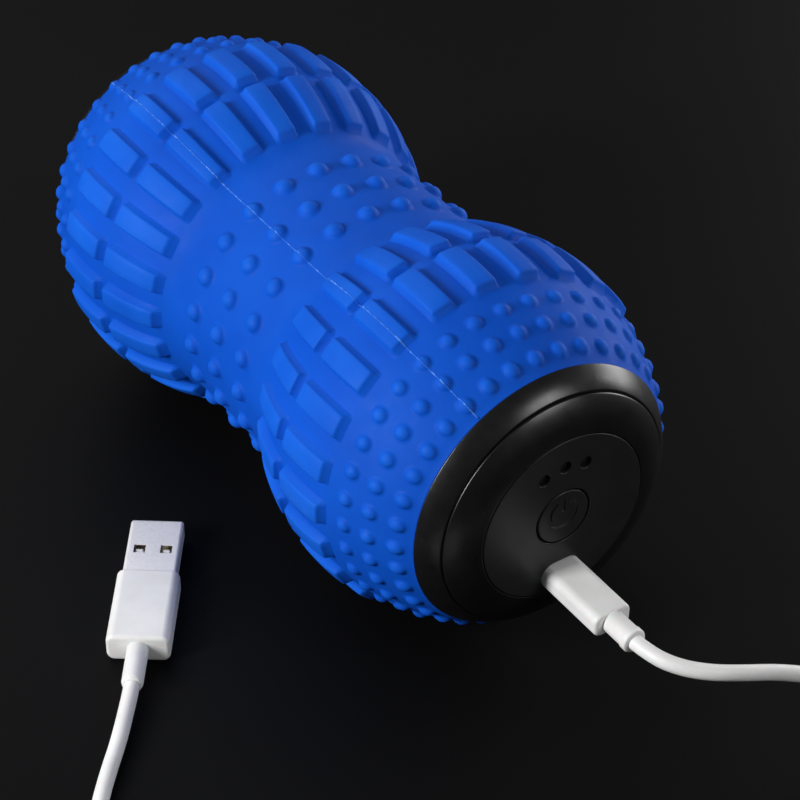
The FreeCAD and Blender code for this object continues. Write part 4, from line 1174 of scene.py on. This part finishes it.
def coloured_plastic(name, low, high, rough, size=0.004, depth=0.00003):
    """Any other plastic: two close colours in clouds, with a light grain."""
    material, tree, shader = finish_start(name, rough, Specular_IOR_Level=0.5)
    tree.links.new(between(tree, grain(tree, size), low, high), shader.inputs["Base Color"])
    relief(tree, shader, grain(tree, size / 6), depth, 0.4)
    return material


plated = metal("plated_steel", (0.76, 0.75, 0.74), (0.85, 0.84, 0.83), 0.40, 0.46, metallic=0.25)
finishes = {
    "core_plastic": coloured_plastic("core_plastic", (0.045, 0.045, 0.05), (0.06, 0.06, 0.065), 0.5),
    "trim_black": trim,
    "panel_black": panel_finish,
    "board_green": coloured_plastic("board_green", (0.01, 0.09, 0.03), (0.02, 0.13, 0.045), 0.35, 0.002),
    "light_lens": coloured_plastic("smoked_lens", (0.001, 0.001, 0.001), (0.002, 0.002, 0.002), 0.5, 0.001),
    "light_chip": coloured_plastic("light_chip", (0.75, 0.72, 0.45), (0.85, 0.83, 0.6), 0.4, 0.001),
    "socket_steel": plated,
    "contact_carrier": coloured_plastic("contact_carrier", (0.62, 0.62, 0.61), (0.72, 0.72, 0.71), 0.5, 0.003),
    "contact_gold": metal("contact_gold", (0.80, 0.55, 0.20), (0.92, 0.68, 0.30), 0.2, 0.32),
    "screw_steel": metal("screw_steel", (0.35, 0.35, 0.36), (0.5, 0.5, 0.51), 0.3, 0.45),
    "weight_iron": metal("weight_iron", (0.22, 0.22, 0.23), (0.34, 0.34, 0.35), 0.4, 0.6),
    "cell_wrap": coloured_plastic("cell_wrap", (0.02, 0.16, 0.12), (0.03, 0.22, 0.17), 0.3, 0.01),
    "wire_insulation": coloured_plastic("wire_insulation", (0.35, 0.01, 0.01), (0.5, 0.02, 0.015), 0.45),
    "cable_white": moulding,
    "cord_white": jacket,
    "silicone_blue": skin.data.materials[0],
}
for piece in (shell, *springs):
    piece.data.materials.append(plated)

# %% Give every measured part its finish
slot_of = {}
for row in frame["record"]["subparts"]:
    slot_of[row["node"]] = row["material_slot"]
for name, part in nodes.items():
    material = finishes[slot_of[name]]
    part.data.materials.clear()
    part.data.materials.append(material)
print("finishes:", len(finishes), "measured parts:", len(nodes))

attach(cord, "cable")
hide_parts("cord_to_coil", "cord_coil", "cord_from_coil")

# %% [markdown]
# ## Floor and light
#
# A dark matte table and four large soft lamps, as in a small product studio. The strongest stands low at
# the left, so that the far side of each block and nub falls into shade. One in front fills the ends of
# the blocks, one low at the right lights the round of the caps, and one behind makes their highlight.

# %% Floor
TABLE_HALF = 5000.0
floor_points = np.array([(-1, -1, 0), (1, -1, 0), (1, 1, 0), (-1, 1, 0)]) * TABLE_HALF
floor = add_piece("table_top", floor_points, [(0, 1, 2, 3)])
floor_material, floor_tree, floor_shader = finish_start("dark_table", 0.6, Specular_IOR_Level=0.08)
floor_cloud = grain(floor_tree, 0.15, detail=2)
floor_colour = between(floor_tree, floor_cloud, (0.0014, 0.0014, 0.0015), (0.0022, 0.0022, 0.0023))
floor_tree.links.new(floor_colour, floor_shader.inputs["Base Color"])
floor.data.materials.append(floor_material)

# %% Lamps
LAMP_TARGET = (0.03, 0, 0.04)


def lamp(name, place, width, height, power):
    """A soft rectangular lamp turned from its place towards the roller; power is in watts."""
    data = bpy.data.lights.new(name, "AREA")
    data.shape = "RECTANGLE"
    data.size, data.size_y = width, height
    data.energy = power
    holder = bpy.data.objects.new(name, data)
    scene.collection.objects.link(holder)
    holder.location = place
    aim = Vector(LAMP_TARGET) - Vector(place)
    holder.rotation_euler = aim.to_track_quat("-Z", "Y").to_euler()


lamp("left_lamp", (-0.05, -0.80, 0.42), 0.14, 0.40, 9.0)
lamp("front_lamp", (0.70, 0.30, 0.50), 0.30, 0.30, 2.2)
lamp("right_lamp", (-0.05, 0.80, 0.17), 0.80, 0.30, 4.5)
lamp("back_lamp", (-0.60, -0.02, 0.62), 0.80, 0.60, 2.5)

world = bpy.data.worlds.new("soft_room")
world.use_nodes = True
world.node_tree.nodes["Background"].inputs["Color"].default_value = (0.95, 0.97, 1.0, 1)
world.node_tree.nodes["Background"].inputs["Strength"].default_value = 0.07
scene.world = world
scene.view_settings.view_transform = "Standard"
